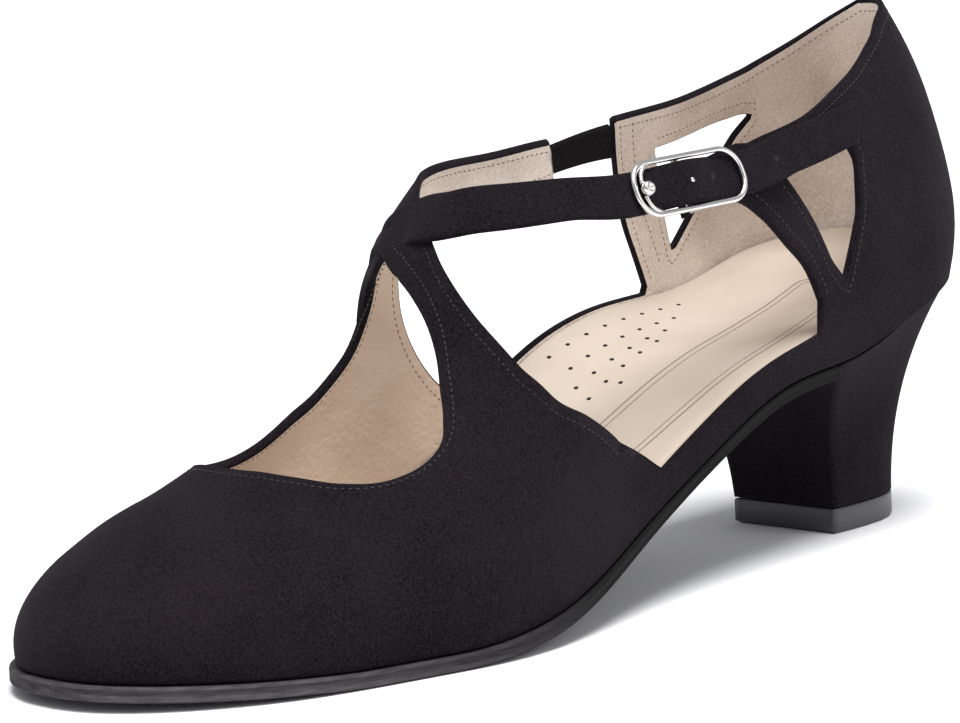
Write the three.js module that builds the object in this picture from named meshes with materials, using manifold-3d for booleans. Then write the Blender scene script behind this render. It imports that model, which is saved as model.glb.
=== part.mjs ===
// Left ballroom dance shoe in black suede, with crossed instep straps, a
// side buckle, open waists and a covered block heel. Millimetres, +Z up.
// X points to the outer side of the foot and -Y to the toe. The origin is on
// the floor, at the middle of the shoe's box seen from above.
import * as THREE from 'three';
import { mergeVertices } from 'three/addons/utils/BufferGeometryUtils.js';
import Module from 'manifold-3d';

const wasm = await Module();
wasm.setup();

// Driving dimensions of the last
const LAST_LENGTH = 239;
const BALL_WIDTH = 70.4;
const SEAT_HEIGHT = 47.7;
const INSTEP_HEIGHT = 92;
const COLLAR_HEIGHT = 57;

// Thicknesses and clearances
const UPPER_WALL = 1.7;
const SOLE_THICKNESS = 2.7;
const SOLE_PROUD = 1.3;
const INSOLE_EDGE = 2.8;
const INSOLE_CLEARANCE = 0.5;
const SEAT_CUP = 2;
const ARCH_RISE = 14;
const GAP = 0.3;
const ELASTIC_CLEARANCE = 1.4 * GAP;
const SEAT_CLEARANCE = 1.7 * GAP;

// Heel block and its top piece
const HEEL_BASE_WIDTH = 26.6;
const HEEL_BASE_FRONT = 47.2;
const HEEL_BASE_BACK = 19.6;
const HEEL_BREAST = 58.5;
const TOP_PIECE_HEIGHT = 5;

// Instep strap, elastic and buckle
const STRAP_WIDTH = 9.2;
const STRAP_THICKNESS = 1.5;
const ELASTIC_THICKNESS = 1.1;
const BUCKLE_LENGTH = 29.4;
const BUCKLE_WIRE = 1.2;
const BUCKLE_CORNER = 4.6;
const BUCKLE_ARCH = 0.3;
const STUD_DIAMETER = 3;
const STUD_FROM_END = 2.3;
const ARC_FROM_END = 2.1;
const PIN_DIAMETER = 1.4;
const PIN_PROUD = 0.2;
const TAB_THICKNESS = 0.7;
const TAB_WIDTH = 8;
const TAB_MARGIN = 0.4;

// The last, a row for each station. along is a share of the length; centre,
// half, shift, bulge and lean are shares of the ball width; feather is a
// share of the seat height and ridge a share of the instep height. crown and
// the two sides are exponents of the section's curve.
const LAST_COLUMNS = ['along', 'centre', 'half', 'feather', 'ridge', 'shift', 'bulge', 'lean',
  'crown', 'outerSide', 'innerSide'];
const LAST_ROWS = [
  [0.00, -0.021, 0.366, 0.973, 1.739, 0.000, 0.043, 0.213, 2.4, 2.6, 2.6],
  [0.06, -0.021, 0.364, 0.947, 1.674, 0.000, 0.043, 0.199, 2.4, 2.6, 2.6],
  [0.13, -0.021, 0.369, 0.868, 1.609, 0.000, 0.043, 0.156, 2.4, 2.6, 2.6],
  [0.22, 0.003, 0.366, 0.744, 1.435, -0.014, 0.036, 0.111, 2.4, 2.5, 2.6],
  [0.32, 0.023, 0.366, 0.682, 1.272, -0.043, 0.031, 0.071, 2.4, 2.2, 2.7],
  [0.42, 0.034, 0.378, 0.495, 1.141, -0.085, 0.028, 0.040, 2.4, 2.0, 3.0],
  [0.52, 0.043, 0.409, 0.279, 1.000, -0.114, 0.028, 0.020, 2.3, 2.0, 3.4],
  [0.62, 0.054, 0.466, 0.094, 0.750, -0.114, 0.021, 0.011, 2.3, 2.1, 3.2],
  [0.70, 0.040, 0.500, 0.018, 0.522, -0.085, 0.014, 0.007, 2.2, 2.2, 2.7],
  [0.78, -0.003, 0.494, -0.006, 0.418, -0.057, 0.021, 0.004, 2.1, 2.2, 2.3],
  [0.86, -0.034, 0.457, 0.006, 0.348, -0.028, 0.028, 0.000, 2.0, 2.2, 2.2],
  [0.93, -0.062, 0.402, 0.022, 0.315, -0.014, 0.036, 0.000, 2.0, 2.2, 2.2],
  [1.00, -0.078, 0.339, 0.040, 0.261, 0.000, 0.036, 0.000, 2.0, 2.2, 2.2],
];
const HEEL_FAN = 0.13;
const TOE_FAN = 0.86;
const HEEL_ROUND = 2.2;
const TOE_ROUND = 2.4;
const HEEL_TURN = 0.16;
const TOE_TURN = 0.80;
const LEAN_REACH = 60;
const HEEL_TUCK = 3;
const TUCK_REACH = 18;

// Height of the insole's top edges over the feather line, as shares of the
// arch rise, which the low side bands of the upper follow
const INSOLE_ROWS = [
  // along, outer, inner
  [0.00, 0.62, 0.64],
  [0.10, 0.59, 0.64],
  [0.18, 0.60, 0.72],
  [0.25, 0.54, 0.81],
  [0.30, 0.44, 0.86],
  [0.35, 0.44, 0.95],
  [0.40, 0.47, 1.02],
  [0.45, 0.47, 0.94],
  [0.50, 0.45, 0.76],
  [0.56, 0.40, 0.56],
  [0.64, 0.32, 0.38],
  [0.74, 0.25, 0.26],
  [1.00, 0.22, 0.22],
];
const BAND_OVER_INSOLE = 0.6;
const SEAT_SHARE = 0.2;

// Quarter topline over the feather line, as shares of the collar height
const TOPLINE_ROWS = [
  // along, outer, inner
  [0.000, 1.008, 1.008],
  [0.060, 1.013, 0.941],
  [0.110, 1.005, 0.880],
  [0.155, 0.993, 0.860],
  [0.190, 0.945, 0.872],
  [0.225, 0.916, 0.888],
  [0.270, 0.872, 0.894],
  [0.320, 0.855, 0.900],
  [0.400, 0.880, 0.960],
];

// Outlines on the last. along runs from the heel back to the toe tip on one
// side, and over is 0 on the ridge, 1 at the outer feather line and -1 at
// the inner one.
const KEYHOLE = [
  [0.762, 0.00], [0.759, 0.10], [0.752, 0.21], [0.735, 0.34], [0.711, 0.41], [0.684, 0.43],
  [0.667, 0.42], [0.653, 0.37], [0.642, 0.31], [0.630, 0.25], [0.618, 0.17], [0.607, 0.07],
  [0.598, -0.02], [0.587, -0.12], [0.576, -0.25], [0.567, -0.38], [0.562, -0.49], [0.566, -0.57],
  [0.580, -0.62], [0.602, -0.62], [0.630, -0.58], [0.660, -0.54], [0.690, -0.49], [0.717, -0.42],
  [0.740, -0.31], [0.755, -0.16],
];
const OUTER_REAR = [
  [0.530, 0.85], [0.560, 0.75], [0.583, 0.66], [0.598, 0.53], [0.603, 0.39], [0.601, 0.28],
  [0.592, 0.16], [0.578, 0.06],
];
const LOWER_STRAP_TOP = [
  [0.564, -0.02], [0.545, -0.13], [0.522, -0.26], [0.490, -0.37], [0.450, -0.46], [0.388, -0.552],
];
const LOWER_STRAP_BOTTOM = [
  [0.378, -0.655], [0.420, -0.61], [0.460, -0.555], [0.500, -0.485], [0.528, -0.445],
];
const WING_REAR = [
  [0.532, -0.50], [0.530, -0.58], [0.524, -0.67], [0.512, -0.76], [0.497, -0.83], [0.480, -0.885],
];
const OUTER_QUARTER_FRONT = [
  [0.283, 0.93], [0.296, 0.88], [0.316, 0.83], [0.338, 0.765], [0.362, 0.705], [0.390, 0.670],
  [0.417, 0.652],
];
const OUTER_ARM_TOP = [[0.417, 0.574], [0.390, 0.586], [0.350, 0.614]];
const INNER_QUARTER_FRONT = [
  [0.270, -0.934], [0.281, -0.89], [0.295, -0.83], [0.310, -0.72], [0.320, -0.62],
];
const OUTER_WINDOW = [
  [0.305, 0.736], [0.268, 0.743], [0.226, 0.758], [0.219, 0.793], [0.226, 0.853], [0.252, 0.919],
  [0.266, 0.888], [0.282, 0.822],
];
const INNER_WINDOW = [
  [0.265, -0.733], [0.235, -0.751], [0.205, -0.770], [0.175, -0.790], [0.146, -0.805],
  [0.190, -0.860], [0.236, -0.908], [0.252, -0.825],
];

// Middle line of the instep strap. across, along and up are shares of the
// ball width, the length and the instep height; face is how far its outer
// side looks up, in degrees; wide is a share of the strap width.
const STRAP_COLUMNS = ['run', 'across', 'along', 'up', 'face', 'wide'];
const STRAP_ROWS = [
  [-0.10, -0.350, 0.591, 0.580, 20, 0.20],
  [-0.05, -0.318, 0.592, 0.655, 26, 0.36],
  [0.00, -0.256, 0.598, 0.713, 32, 0.62],
  [0.05, -0.198, 0.603, 0.757, 38, 0.88],
  [0.11, -0.135, 0.600, 0.789, 42, 1.16],
  [0.16, -0.068, 0.600, 0.809, 43, 1.24],
  [0.21, 0.010, 0.600, 0.818, 43, 1.22],
  [0.26, 0.085, 0.592, 0.829, 43, 1.18],
  [0.32, 0.160, 0.577, 0.835, 43, 1.14],
  [0.42, 0.256, 0.539, 0.842, 38, 1.00],
  [0.54, 0.316, 0.478, 0.843, 28, 0.935],
  [0.66, 0.342, 0.412, 0.846, 22, 0.935],
  [0.77, 0.350, 0.347, 0.861, 18, 0.935],
  [0.86, 0.351, 0.297, 0.879, 15, 0.935],
  [0.93, 0.346, 0.251, 0.898, 14, 0.92],
  [1.00, 0.335, 0.201, 0.923, 14, 0.88],
];
const STRAP_START = STRAP_ROWS[0][0];
const BUCKLE_AT = 0.643;

// Corners of the elastic, at the lower strap's end and at the inner quarter
const STRAP_END_CORNERS = [[0.3868, -0.570], [0.3788, -0.643]];
const QUARTER_END_CORNERS = [[0.3125, -0.700], [0.3200, -0.625]];

const SUEDE = new THREE.MeshStandardMaterial({ color: 0x17141a, roughness: 0.95 });
const SOLE_LEATHER = new THREE.MeshStandardMaterial({ color: 0x1b1a1c, roughness: 0.7 });
const INSOLE_LEATHER = new THREE.MeshStandardMaterial({ color: 0xe6dccb, roughness: 0.6 });
const PLASTIC = new THREE.MeshStandardMaterial({ color: 0x37373b, roughness: 0.45 });
const ELASTIC = new THREE.MeshStandardMaterial({ color: 0x141416, roughness: 0.9 });
const NICKEL = new THREE.MeshStandardMaterial({ color: 0xc9c9cc, roughness: 0.2, metalness: 1 });

// Natural cubic spline through the points of one table column
function splineThrough(xs, ys) {
  const n = xs.length;
  const step = xs.slice(1).map((x, i) => x - xs[i]);
  const slope = step.map((h, i) => (ys[i + 1] - ys[i]) / h);
  const diagonal = new Array(n).fill(1);
  const right = new Array(n).fill(0);
  for (let i = 1; i < n - 1; i++) {
    const below = i > 1 ? step[i - 1] / diagonal[i - 1] : 0;
    diagonal[i] = 2 * (step[i - 1] + step[i]) - (i > 1 ? below * step[i - 1] : 0);
    right[i] = 6 * (slope[i] - slope[i - 1]) - below * right[i - 1];
  }
  const bend = new Array(n).fill(0);
  for (let i = n - 2; i > 0; i--) bend[i] = (right[i] - step[i] * bend[i + 1]) / diagonal[i];
  return (x) => {
    const at = Math.min(Math.max(x, xs[0]), xs[n - 1]);
    let i = 0;
    while (i < n - 2 && at > xs[i + 1]) i++;
    const h = step[i];
    const a = (xs[i + 1] - at) / h;
    const b = (at - xs[i]) / h;
    const curve = ((a ** 3 - a) * bend[i] + (b ** 3 - b) * bend[i + 1]) * h * h / 6;
    return a * ys[i] + b * ys[i + 1] + curve;
  };
}

function tableSplines(columns, rows) {
  const first = rows.map((row) => row[0]);
  const out = {};
  columns.forEach((name, k) => { out[name] = splineThrough(first, rows.map((row) => row[k])); });
  return out;
}

const last = tableSplines(LAST_COLUMNS, LAST_ROWS);
const insoleEdge = tableSplines(['along', 'outer', 'inner'], INSOLE_ROWS);
const topline = tableSplines(['along', 'outer', 'inner'], TOPLINE_ROWS);
const clamp = THREE.MathUtils.clamp;
const FEATHER_BASE = SOLE_THICKNESS + GAP;

// Height of the feather line, flat on the floor's plane under the ball
function featherZ(share) {
  return FEATHER_BASE + Math.max(last.feather(share), 0) * SEAT_HEIGHT;
}

function ridgeZ(share) {
  return last.ridge(share) * INSTEP_HEIGHT;
}

// One rib of the last, from the ridge line down to the feather line. turn
// runs from the heel back to the toe tip on one side.
function rib(turn, side) {
  let share = HEEL_FAN + (TOE_FAN - HEEL_FAN) * (turn - HEEL_TURN) / (TOE_TURN - HEEL_TURN);
  let narrow = 1;
  if (turn < HEEL_TURN) {
    const angle = (1 - turn / HEEL_TURN) * Math.PI / 2;
    share = HEEL_FAN * (1 - Math.sin(angle) ** (2 / HEEL_ROUND));
    narrow = Math.abs(Math.cos(angle)) ** (2 / HEEL_ROUND);
  } else if (turn > TOE_TURN) {
    const angle = (turn - TOE_TURN) / (1 - TOE_TURN) * Math.PI / 2;
    share = TOE_FAN + (1 - TOE_FAN) * Math.sin(angle) ** (2 / TOE_ROUND);
    narrow = Math.abs(Math.cos(angle)) ** (2 / TOE_ROUND);
  }
  const hub = clamp(share, HEEL_FAN, TOE_FAN);
  const hubX = (last.centre(hub) + last.shift(hub)) * BALL_WIDTH;
  const edgeX = (last.centre(share) + side * last.half(share) * narrow) * BALL_WIDTH;
  const dx = edgeX - hubX;
  const ds = (share - hub) * LAST_LENGTH;
  return { share, hub, hubX, hubS: hub * LAST_LENGTH, dx, ds, reach: Math.hypot(dx, ds) };
}

const TOE_SLOPE = (ridgeZ(TOE_FAN - 0.01) - ridgeZ(TOE_FAN)) / (0.01 * LAST_LENGTH);

// Point on the last, at a share of the climb from the feather line to the
// ridge, moved in by inset
function lastPoint(turn, climb, side, inset) {
  const r = rib(turn, side);
  const angle = climb * Math.PI / 2;
  const sideCurve = side > 0 ? last.outerSide(r.share) : last.innerSide(r.share);
  const cosine = Math.max(Math.cos(angle), 0);
  const foot = featherZ(r.share);
  const swell = last.bulge(r.share) * BALL_WIDTH * Math.max(Math.sin(2 * angle), 0) ** 1.2 * cosine;
  let out = (r.reach - inset) * cosine ** (2 / sideCurve) + swell;
  const fall = TOE_SLOPE * clamp(r.ds / r.reach, 0, 1) * out;
  const top = ridgeZ(r.hub) - inset - fall - foot;
  const z = foot + top * Math.sin(angle) ** (2 / last.crown(r.share));
  const lean = last.lean(r.share) * BALL_WIDTH * clamp((z - foot) / LEAN_REACH, 0, 1.3) ** 2;
  const low = clamp(1 - (z - foot) / TUCK_REACH, 0, 1);
  const tuck = HEEL_TUCK * clamp(1 - r.share / HEEL_FAN, 0, 1) * low ** 2;
  out = Math.max(out - lean - tuck, 0);
  const s = r.hubS + r.ds / r.reach * out;
  return new THREE.Vector3(r.hubX + r.dx / r.reach * out, -s, z);
}

// Climb share at a height over the feather line
function climbAt(turn, height) {
  const r = rib(turn, 1);
  const whole = ridgeZ(r.hub) - featherZ(r.share);
  return Math.asin(clamp(height / whole, 0, 1) ** (last.crown(r.share) / 2)) / (Math.PI / 2);
}

// The pattern sheet: each rib laid flat, so that outlines can be cut in it
function patternPoint(turn, over) {
  const r = rib(turn, over < 0 ? -1 : 1);
  const k = Math.abs(over);
  return new THREE.Vector2(r.hubX + r.dx * k, r.hubS + r.ds * k);
}

// Back from the pattern sheet to turn, climb and side
function fromPattern(x, s) {
  const hub = clamp(s / LAST_LENGTH, HEEL_FAN, TOE_FAN);
  const hubX = (last.centre(hub) + last.shift(hub)) * BALL_WIDTH;
  const side = x < hubX ? -1 : 1;
  let turn = HEEL_TURN + (TOE_TURN - HEEL_TURN) * (hub - HEEL_FAN) / (TOE_FAN - HEEL_FAN);
  const along = s - hub * LAST_LENGTH;
  if (Math.abs(along) > 1e-9) {
    const wanted = Math.atan2(Math.abs(along), Math.abs(x - hubX));
    let near = turn;
    let far = along < 0 ? 0 : 1;
    for (let k = 0; k < 48; k++) {
      turn = (near + far) / 2;
      const r = rib(turn, side);
      if (Math.atan2(Math.abs(r.ds), r.dx * side) < wanted) near = turn; else far = turn;
    }
  }
  const r = rib(turn, side);
  const over = Math.hypot(x - hubX, along) / r.reach;
  return { turn, side, climb: clamp(1 - over, 0, 1) };
}

// Geometry helpers
function geometryFrom(points, faces) {
  const g = new THREE.BufferGeometry();
  g.setAttribute('position', new THREE.Float32BufferAttribute(points.flatMap((p) => [p.x, p.y, p.z]), 3));
  g.setIndex(faces.flat());
  return g;
}

function toSolid(geometry) {
  const bare = geometry.clone();
  bare.deleteAttribute('normal');
  bare.deleteAttribute('uv');
  const merged = mergeVertices(bare, 1e-4);
  const index = merged.index.array;
  const kept = [];
  for (let i = 0; i < index.length; i += 3) {
    const [a, b, c] = [index[i], index[i + 1], index[i + 2]];
    if (a !== b && b !== c && c !== a) kept.push(a, b, c);
  }
  return new wasm.Manifold(new wasm.Mesh({
    numProp: 3,
    vertProperties: new Float32Array(merged.attributes.position.array),
    triVerts: new Uint32Array(kept),
  }));
}

function toGeometry(solid) {
  const mesh = solid.getMesh();
  const g = new THREE.BufferGeometry();
  g.setAttribute('position', new THREE.BufferAttribute(new Float32Array(mesh.vertProperties), 3));
  g.setIndex(new THREE.BufferAttribute(new Uint32Array(mesh.triVerts), 1));
  return g;
}

// Closed solid through rings that each run round a D from one end of its
// front to the other, so that a cap is strips between mirrored points
function loftRings(rings) {
  const count = rings[0].length;
  const faces = [];
  for (let k = 0; k < rings.length - 1; k++) {
    for (let i = 0; i < count; i++) {
      const j = (i + 1) % count;
      const [a, b, c, d] = [k * count + i, k * count + j, (k + 1) * count + j, (k + 1) * count + i];
      faces.push([a, b, c], [a, c, d]);
    }
  }
  const top = (rings.length - 1) * count;
  for (let i = 0; i < (count - 1) / 2; i++) {
    const [a, b, c, d] = [i, i + 1, count - 2 - i, count - 1 - i];
    faces.push([c, b, a], [d, c, a], [top + a, top + b, top + c], [top + a, top + c, top + d]);
  }
  return geometryFrom(rings.flat(), faces.filter((f) => new Set(f).size === 3));
}

// Upper: the whole last in a wall on the pattern sheet, less its openings
const RIBS = 64;
const CLIMBS = [0, 0.035, 0.07, 0.11, 0.15, 0.20, 0.26, 0.33, 0.42, 0.52, 0.63, 0.75, 0.88, 1];
const SHEET_LIFT = 20;
const sheetDome = (x, s) => 0.004 * x * x + 0.0006 * (s - LAST_LENGTH / 2) ** 2;

function ribTurn(i) {
  return i / RIBS;
}

function patternSheet() {
  const loop = [];
  for (let i = 0; i < RIBS; i++) loop.push([ribTurn(i), 1]);
  for (let i = RIBS; i > 0; i--) loop.push([ribTurn(i), -1]);
  const points = [];
  const faces = [];
  const layers = [0, SHEET_LIFT];
  for (const lift of layers) {
    for (let j = 0; j < CLIMBS.length; j++) {
      for (const [turn, side] of loop) {
        const q = patternPoint(turn, (1 - CLIMBS[j]) * side);
        points.push(new THREE.Vector3(q.x, q.y, sheetDome(q.x, q.y) + lift));
      }
    }
  }
  const n = loop.length;
  const layer = n * CLIMBS.length;
  for (let j = 0; j < CLIMBS.length - 1; j++) {
    for (let i = 0; i < n; i++) {
      const k = (i + 1) % n;
      const [a, b, c, d] = [j * n + i, j * n + k, (j + 1) * n + k, (j + 1) * n + i];
      faces.push([c, b, a], [d, c, a], [layer + a, layer + b, layer + c], [layer + a, layer + c, layer + d]);
      if (j === 0) faces.push([a, b, layer + b], [a, layer + b, layer + a]);
    }
  }
  return toSolid(geometryFrom(points, faces));
}

// A cutter on the sheet from an outline of turn and over values
function sheetCutter(outline, dense = 3) {
  const flat = [];
  outline.forEach(([turn, over], i) => {
    const [nextTurn, nextOver] = outline[(i + 1) % outline.length];
    for (let k = 0; k < dense; k++) {
      const w = k / dense;
      flat.push(patternPoint(turn + (nextTurn - turn) * w, over + (nextOver - over) * w));
    }
  });
  const shape = new THREE.Shape(flat);
  const prism = new THREE.ExtrudeGeometry(shape, { depth: 6 * SHEET_LIFT, bevelEnabled: false });
  prism.translate(0, 0, -2 * SHEET_LIFT);
  return toSolid(prism);
}

// Smooth outline through the table's points, open or closed
function smoothRun(outline, steps, closed = false) {
  const points = outline.map(([a, b]) => new THREE.Vector3(a, b, 0));
  const curve = new THREE.CatmullRomCurve3(points, closed, 'centripetal');
  return curve.getPoints(steps).map((p) => [p.x, p.y]);
}

function smoothOutline(outline, steps) {
  return smoothRun(outline, steps, true).slice(0, -1);
}

function bandOver(turn, side) {
  const share = rib(turn, side).share;
  const rise = (side > 0 ? insoleEdge.outer(share) : insoleEdge.inner(share)) * ARCH_RISE;
  return side * (1 - climbAt(turn, rise + BAND_OVER_INSOLE));
}

function bandRun(from, to, side, steps) {
  const run = [];
  for (let i = 0; i <= steps; i++) {
    const turn = from + (to - from) * i / steps;
    run.push([turn, bandOver(turn, side)]);
  }
  return run;
}

function toplineRun(from, to, side, steps) {
  const run = [];
  for (let i = 0; i <= steps; i++) {
    const turn = from + (to - from) * i / steps;
    const rise = (side > 0 ? topline.outer(turn) : topline.inner(turn)) * COLLAR_HEIGHT;
    run.push([turn, side * (1 - climbAt(turn, rise))]);
  }
  return run;
}

// Turn between two neighbouring runs of the open top, where they meet at a
// corner or where the outline drops from a strap to a side band
const CORNER_STEP = 0.012;
const BAND_STEP = 0.002;
const WAIST_DROP = 0.052;

// Everything over the quarters, the straps and the low side bands. The run
// goes from the heel back along the outer side and returns on the inner side.
function openTop() {
  const innerTop = INNER_QUARTER_FRONT[INNER_QUARTER_FRONT.length - 1][0];
  const wingFoot = WING_REAR[WING_REAR.length - 1][0] - CORNER_STEP;
  return [
    ...toplineRun(0, OUTER_ARM_TOP[OUTER_ARM_TOP.length - 1][0] - CORNER_STEP, 1, 24),
    ...smoothRun(OUTER_ARM_TOP, 6).reverse(),
    ...smoothRun(OUTER_QUARTER_FRONT, 16).reverse(),
    ...bandRun(OUTER_QUARTER_FRONT[0][0] + BAND_STEP, OUTER_REAR[0][0] - WAIST_DROP, 1, 14),
    ...smoothRun(OUTER_REAR, 20),
    ...smoothRun(LOWER_STRAP_TOP, 14),
    ...smoothRun(LOWER_STRAP_BOTTOM, 12),
    ...smoothRun(WING_REAR, 12),
    ...bandRun(wingFoot, INNER_QUARTER_FRONT[0][0] + BAND_STEP, -1, 14),
    ...smoothRun(INNER_QUARTER_FRONT, 12),
    ...toplineRun(innerTop - 2 * BAND_STEP, 0, -1, 26).slice(0, -1),
  ];
}

// The sheet bent onto the last, between two depths under its surface
function bentOntoLast(sheet, outerInset, innerInset) {
  const flat = toGeometry(sheet);
  const place = flat.attributes.position;
  for (let i = 0; i < place.count; i++) {
    const x = place.getX(i);
    const s = place.getY(i);
    const outside = place.getZ(i) - sheetDome(x, s) > SHEET_LIFT / 2;
    const at = fromPattern(x, s);
    const p = lastPoint(at.turn, at.climb, at.side, outside ? outerInset : innerInset);
    place.setXYZ(i, p.x, p.y, p.z);
  }
  return toSolid(flipped(flat));
}

function upperShell() {
  let sheet = patternSheet();
  const cutters = [
    sheetCutter(openTop(), 1),
    sheetCutter(smoothOutline(KEYHOLE, 60), 1),
    sheetCutter(OUTER_WINDOW),
    sheetCutter(INNER_WINDOW),
  ];
  for (const cutter of cutters) sheet = sheet.subtract(cutter);
  return bentOntoLast(sheet, 0, UPPER_WALL);
}

// Elastic between the lower strap's end and the inner quarter
function elasticStrip() {
  const slot = ELASTIC_CLEARANCE / LAST_LENGTH;
  const outline = [
    ...STRAP_END_CORNERS.map(([turn, over]) => [turn - slot, over]),
    ...QUARTER_END_CORNERS.map(([turn, over]) => [turn + slot, over]),
  ];
  const inset = (UPPER_WALL - ELASTIC_THICKNESS) / 2;
  const strip = patternSheet().intersect(sheetCutter(outline, 4));
  return bentOntoLast(strip, inset, inset + ELASTIC_THICKNESS);
}

// Instep strap: a ribbon on its own middle line, woven through the buckle
const strapTable = tableSplines(STRAP_COLUMNS, STRAP_ROWS);

function strapMiddle(run) {
  return new THREE.Vector3(
    strapTable.across(run) * BALL_WIDTH,
    -strapTable.along(run) * LAST_LENGTH,
    strapTable.up(run) * INSTEP_HEIGHT,
  );
}

// Frame on the strap: forward along it, up across its width, out of the foot
function strapFrame(run) {
  const a = strapMiddle(clamp(run - 0.01, STRAP_START, 1));
  const b = strapMiddle(clamp(run + 0.01, STRAP_START, 1));
  const along = b.sub(a).normalize();
  const face = THREE.MathUtils.degToRad(strapTable.face(run));
  const level = new THREE.Vector3(along.y, -along.x, 0).normalize();
  const out = level.multiplyScalar(Math.cos(face)).add(new THREE.Vector3(0, 0, Math.sin(face)));
  out.addScaledVector(along, -out.dot(along)).normalize();
  const up = new THREE.Vector3().crossVectors(out, along).normalize();
  return { along, up, out };
}

const STRAP_LENGTH = (() => {
  let sum = 0;
  for (let i = 0; i < 200; i++) sum += strapMiddle(i / 200).distanceTo(strapMiddle((i + 1) / 200));
  return sum;
})();

// Heights over the strap's middle line at the buckle
const WIRE_RADIUS = BUCKLE_WIRE / 2;
const LOOP_RADIUS = WIRE_RADIUS + GAP + TAB_THICKNESS;
const STRAP_DIP = 0.3;
const RING_LEVEL = -STRAP_DIP + STRAP_THICKNESS / 2 + GAP + WIRE_RADIUS;
const BAR_LEVEL = -1.1;
const STRAP_HUMP = BAR_LEVEL + LOOP_RADIUS + GAP + STRAP_THICKNESS / 2;
const STRAP_IN_BUCKLE = 0.935;
const BUCKLE_HALF_HEIGHT = STRAP_WIDTH * STRAP_IN_BUCKLE / 2 + GAP + WIRE_RADIUS;

// How far the strap stands off its line: over the bar and under both ends
function strapWeave(run) {
  const near = Math.abs(run - BUCKLE_AT) * STRAP_LENGTH / (BUCKLE_LENGTH / 2);
  if (near < 1) return -STRAP_DIP + (STRAP_HUMP + STRAP_DIP) * Math.cos(near * Math.PI / 2) ** 4;
  return -STRAP_DIP * clamp(2 - near, 0, 1);
}

// The strap runs straight through the buckle and bends again past its ends
function strapAt(run) {
  const { along, up, out } = strapFrame(BUCKLE_AT);
  const past = (run - BUCKLE_AT) * STRAP_LENGTH;
  const straight = 1 - THREE.MathUtils.smoothstep(Math.abs(past) / (BUCKLE_LENGTH / 2), 1, 1.9);
  const line = strapMiddle(BUCKLE_AT).addScaledVector(along, past);
  const own = strapFrame(run);
  own.up.lerp(up, straight).normalize();
  own.out.lerp(out, straight).normalize();
  const middle = strapMiddle(run).lerp(line, straight).addScaledVector(own.out, strapWeave(run));
  return { middle, up: own.up, out: own.out };
}

const STRAP_STEPS = 60;
const TIP_LENGTH = 0.04;
const TIP_WIDTH = 0.45;

function instepStrap() {
  const rings = [];
  for (let i = 0; i <= STRAP_STEPS; i++) {
    const run = STRAP_START + (1 - STRAP_START) * i / STRAP_STEPS;
    const { middle, up, out } = strapAt(run);
    const fromTip = clamp((1 - run) / TIP_LENGTH, 0, 1);
    const narrow = TIP_WIDTH + (1 - TIP_WIDTH) * Math.sqrt(1 - (1 - fromTip) ** 2);
    const half = STRAP_WIDTH / 2 * strapTable.wide(run) * narrow;
    const corner = (w, h) => middle.clone().addScaledVector(up, w * half)
      .addScaledVector(out, h * STRAP_THICKNESS / 2);
    rings.push([corner(-1, -1), corner(0, -1), corner(1, -1), corner(1, 1), corner(0, 1), corner(-1, 1)]);
  }
  const hole = rodBetween(PIN_DIAMETER / 2 + GAP, [0, 0, -1], [0, 0, 4]);
  return ribbonSolid(rings).subtract(hole);
}

// Closed ribbon from rings of section points
function ribbonSolid(rings) {
  const n = rings[0].length;
  const faces = [];
  for (let k = 0; k < rings.length - 1; k++) {
    for (let i = 0; i < n; i++) {
      const j = (i + 1) % n;
      const [a, b, c, d] = [k * n + i, k * n + j, (k + 1) * n + j, (k + 1) * n + i];
      faces.push([a, b, c], [a, c, d]);
    }
  }
  const end = (rings.length - 1) * n;
  for (let i = 1; i < n - 1; i++) {
    faces.push([0, i + 1, i], [end, end + i, end + i + 1]);
  }
  const solid = toSolid(geometryFrom(rings.flat(), faces));
  if (solid.volume() > 0) return solid;
  return toSolid(geometryFrom(rings.flat(), faces.map((f) => [...f].reverse())));
}

function flipped(geometry) {
  const g = mergeVertices(geometry);
  const index = [...g.index.array];
  for (let i = 0; i < index.length; i += 3) [index[i], index[i + 1]] = [index[i + 1], index[i]];
  g.setIndex(index);
  return g;
}

// A piece drawn at the buckle: X along the strap to its tip, Y up its width
// and Z outward
function atBuckle(geometry) {
  const { along, up, out } = strapFrame(BUCKLE_AT);
  const matrix = new THREE.Matrix4().makeBasis(along, up, along.clone().cross(up));
  const facing = along.clone().cross(up).dot(out);
  if (facing < 0) matrix.makeBasis(along, up.clone().negate(), out);
  matrix.setPosition(strapMiddle(BUCKLE_AT));
  return toSolid(geometry.clone().applyMatrix4(matrix));
}

function rodBetween(radius, from, to) {
  const a = new THREE.Vector3(...from);
  const b = new THREE.Vector3(...to);
  const rod = new THREE.CylinderGeometry(radius, radius, a.distanceTo(b), 10);
  const turn = new THREE.Quaternion().setFromUnitVectors(
    new THREE.Vector3(0, 1, 0), b.clone().sub(a).normalize());
  rod.applyQuaternion(turn);
  const middle = a.add(b).divideScalar(2);
  rod.translate(middle.x, middle.y, middle.z);
  return atBuckle(rod);
}

// Buckle: a rounded wire ring with a low bar under the strap, an inner arc
// with a ball stud at the toe end, and a pin through the strap's hole
function ringLevel(x) {
  return RING_LEVEL - BUCKLE_ARCH * (1 - (2 * x / BUCKLE_LENGTH) ** 2);
}

function ringPoints(halfX, halfY, corner, steps) {
  const points = [];
  for (const [signX, signY, start] of [[1, 1, 0], [-1, 1, 1], [-1, -1, 2], [1, -1, 3]]) {
    for (let i = 0; i <= steps; i++) {
      const angle = (start + i / steps) * Math.PI / 2;
      const x = signX * (halfX - corner) + corner * Math.cos(angle);
      const y = signY * (halfY - corner) + corner * Math.sin(angle);
      points.push(new THREE.Vector3(x, y, ringLevel(x)));
    }
  }
  return points;
}

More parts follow.
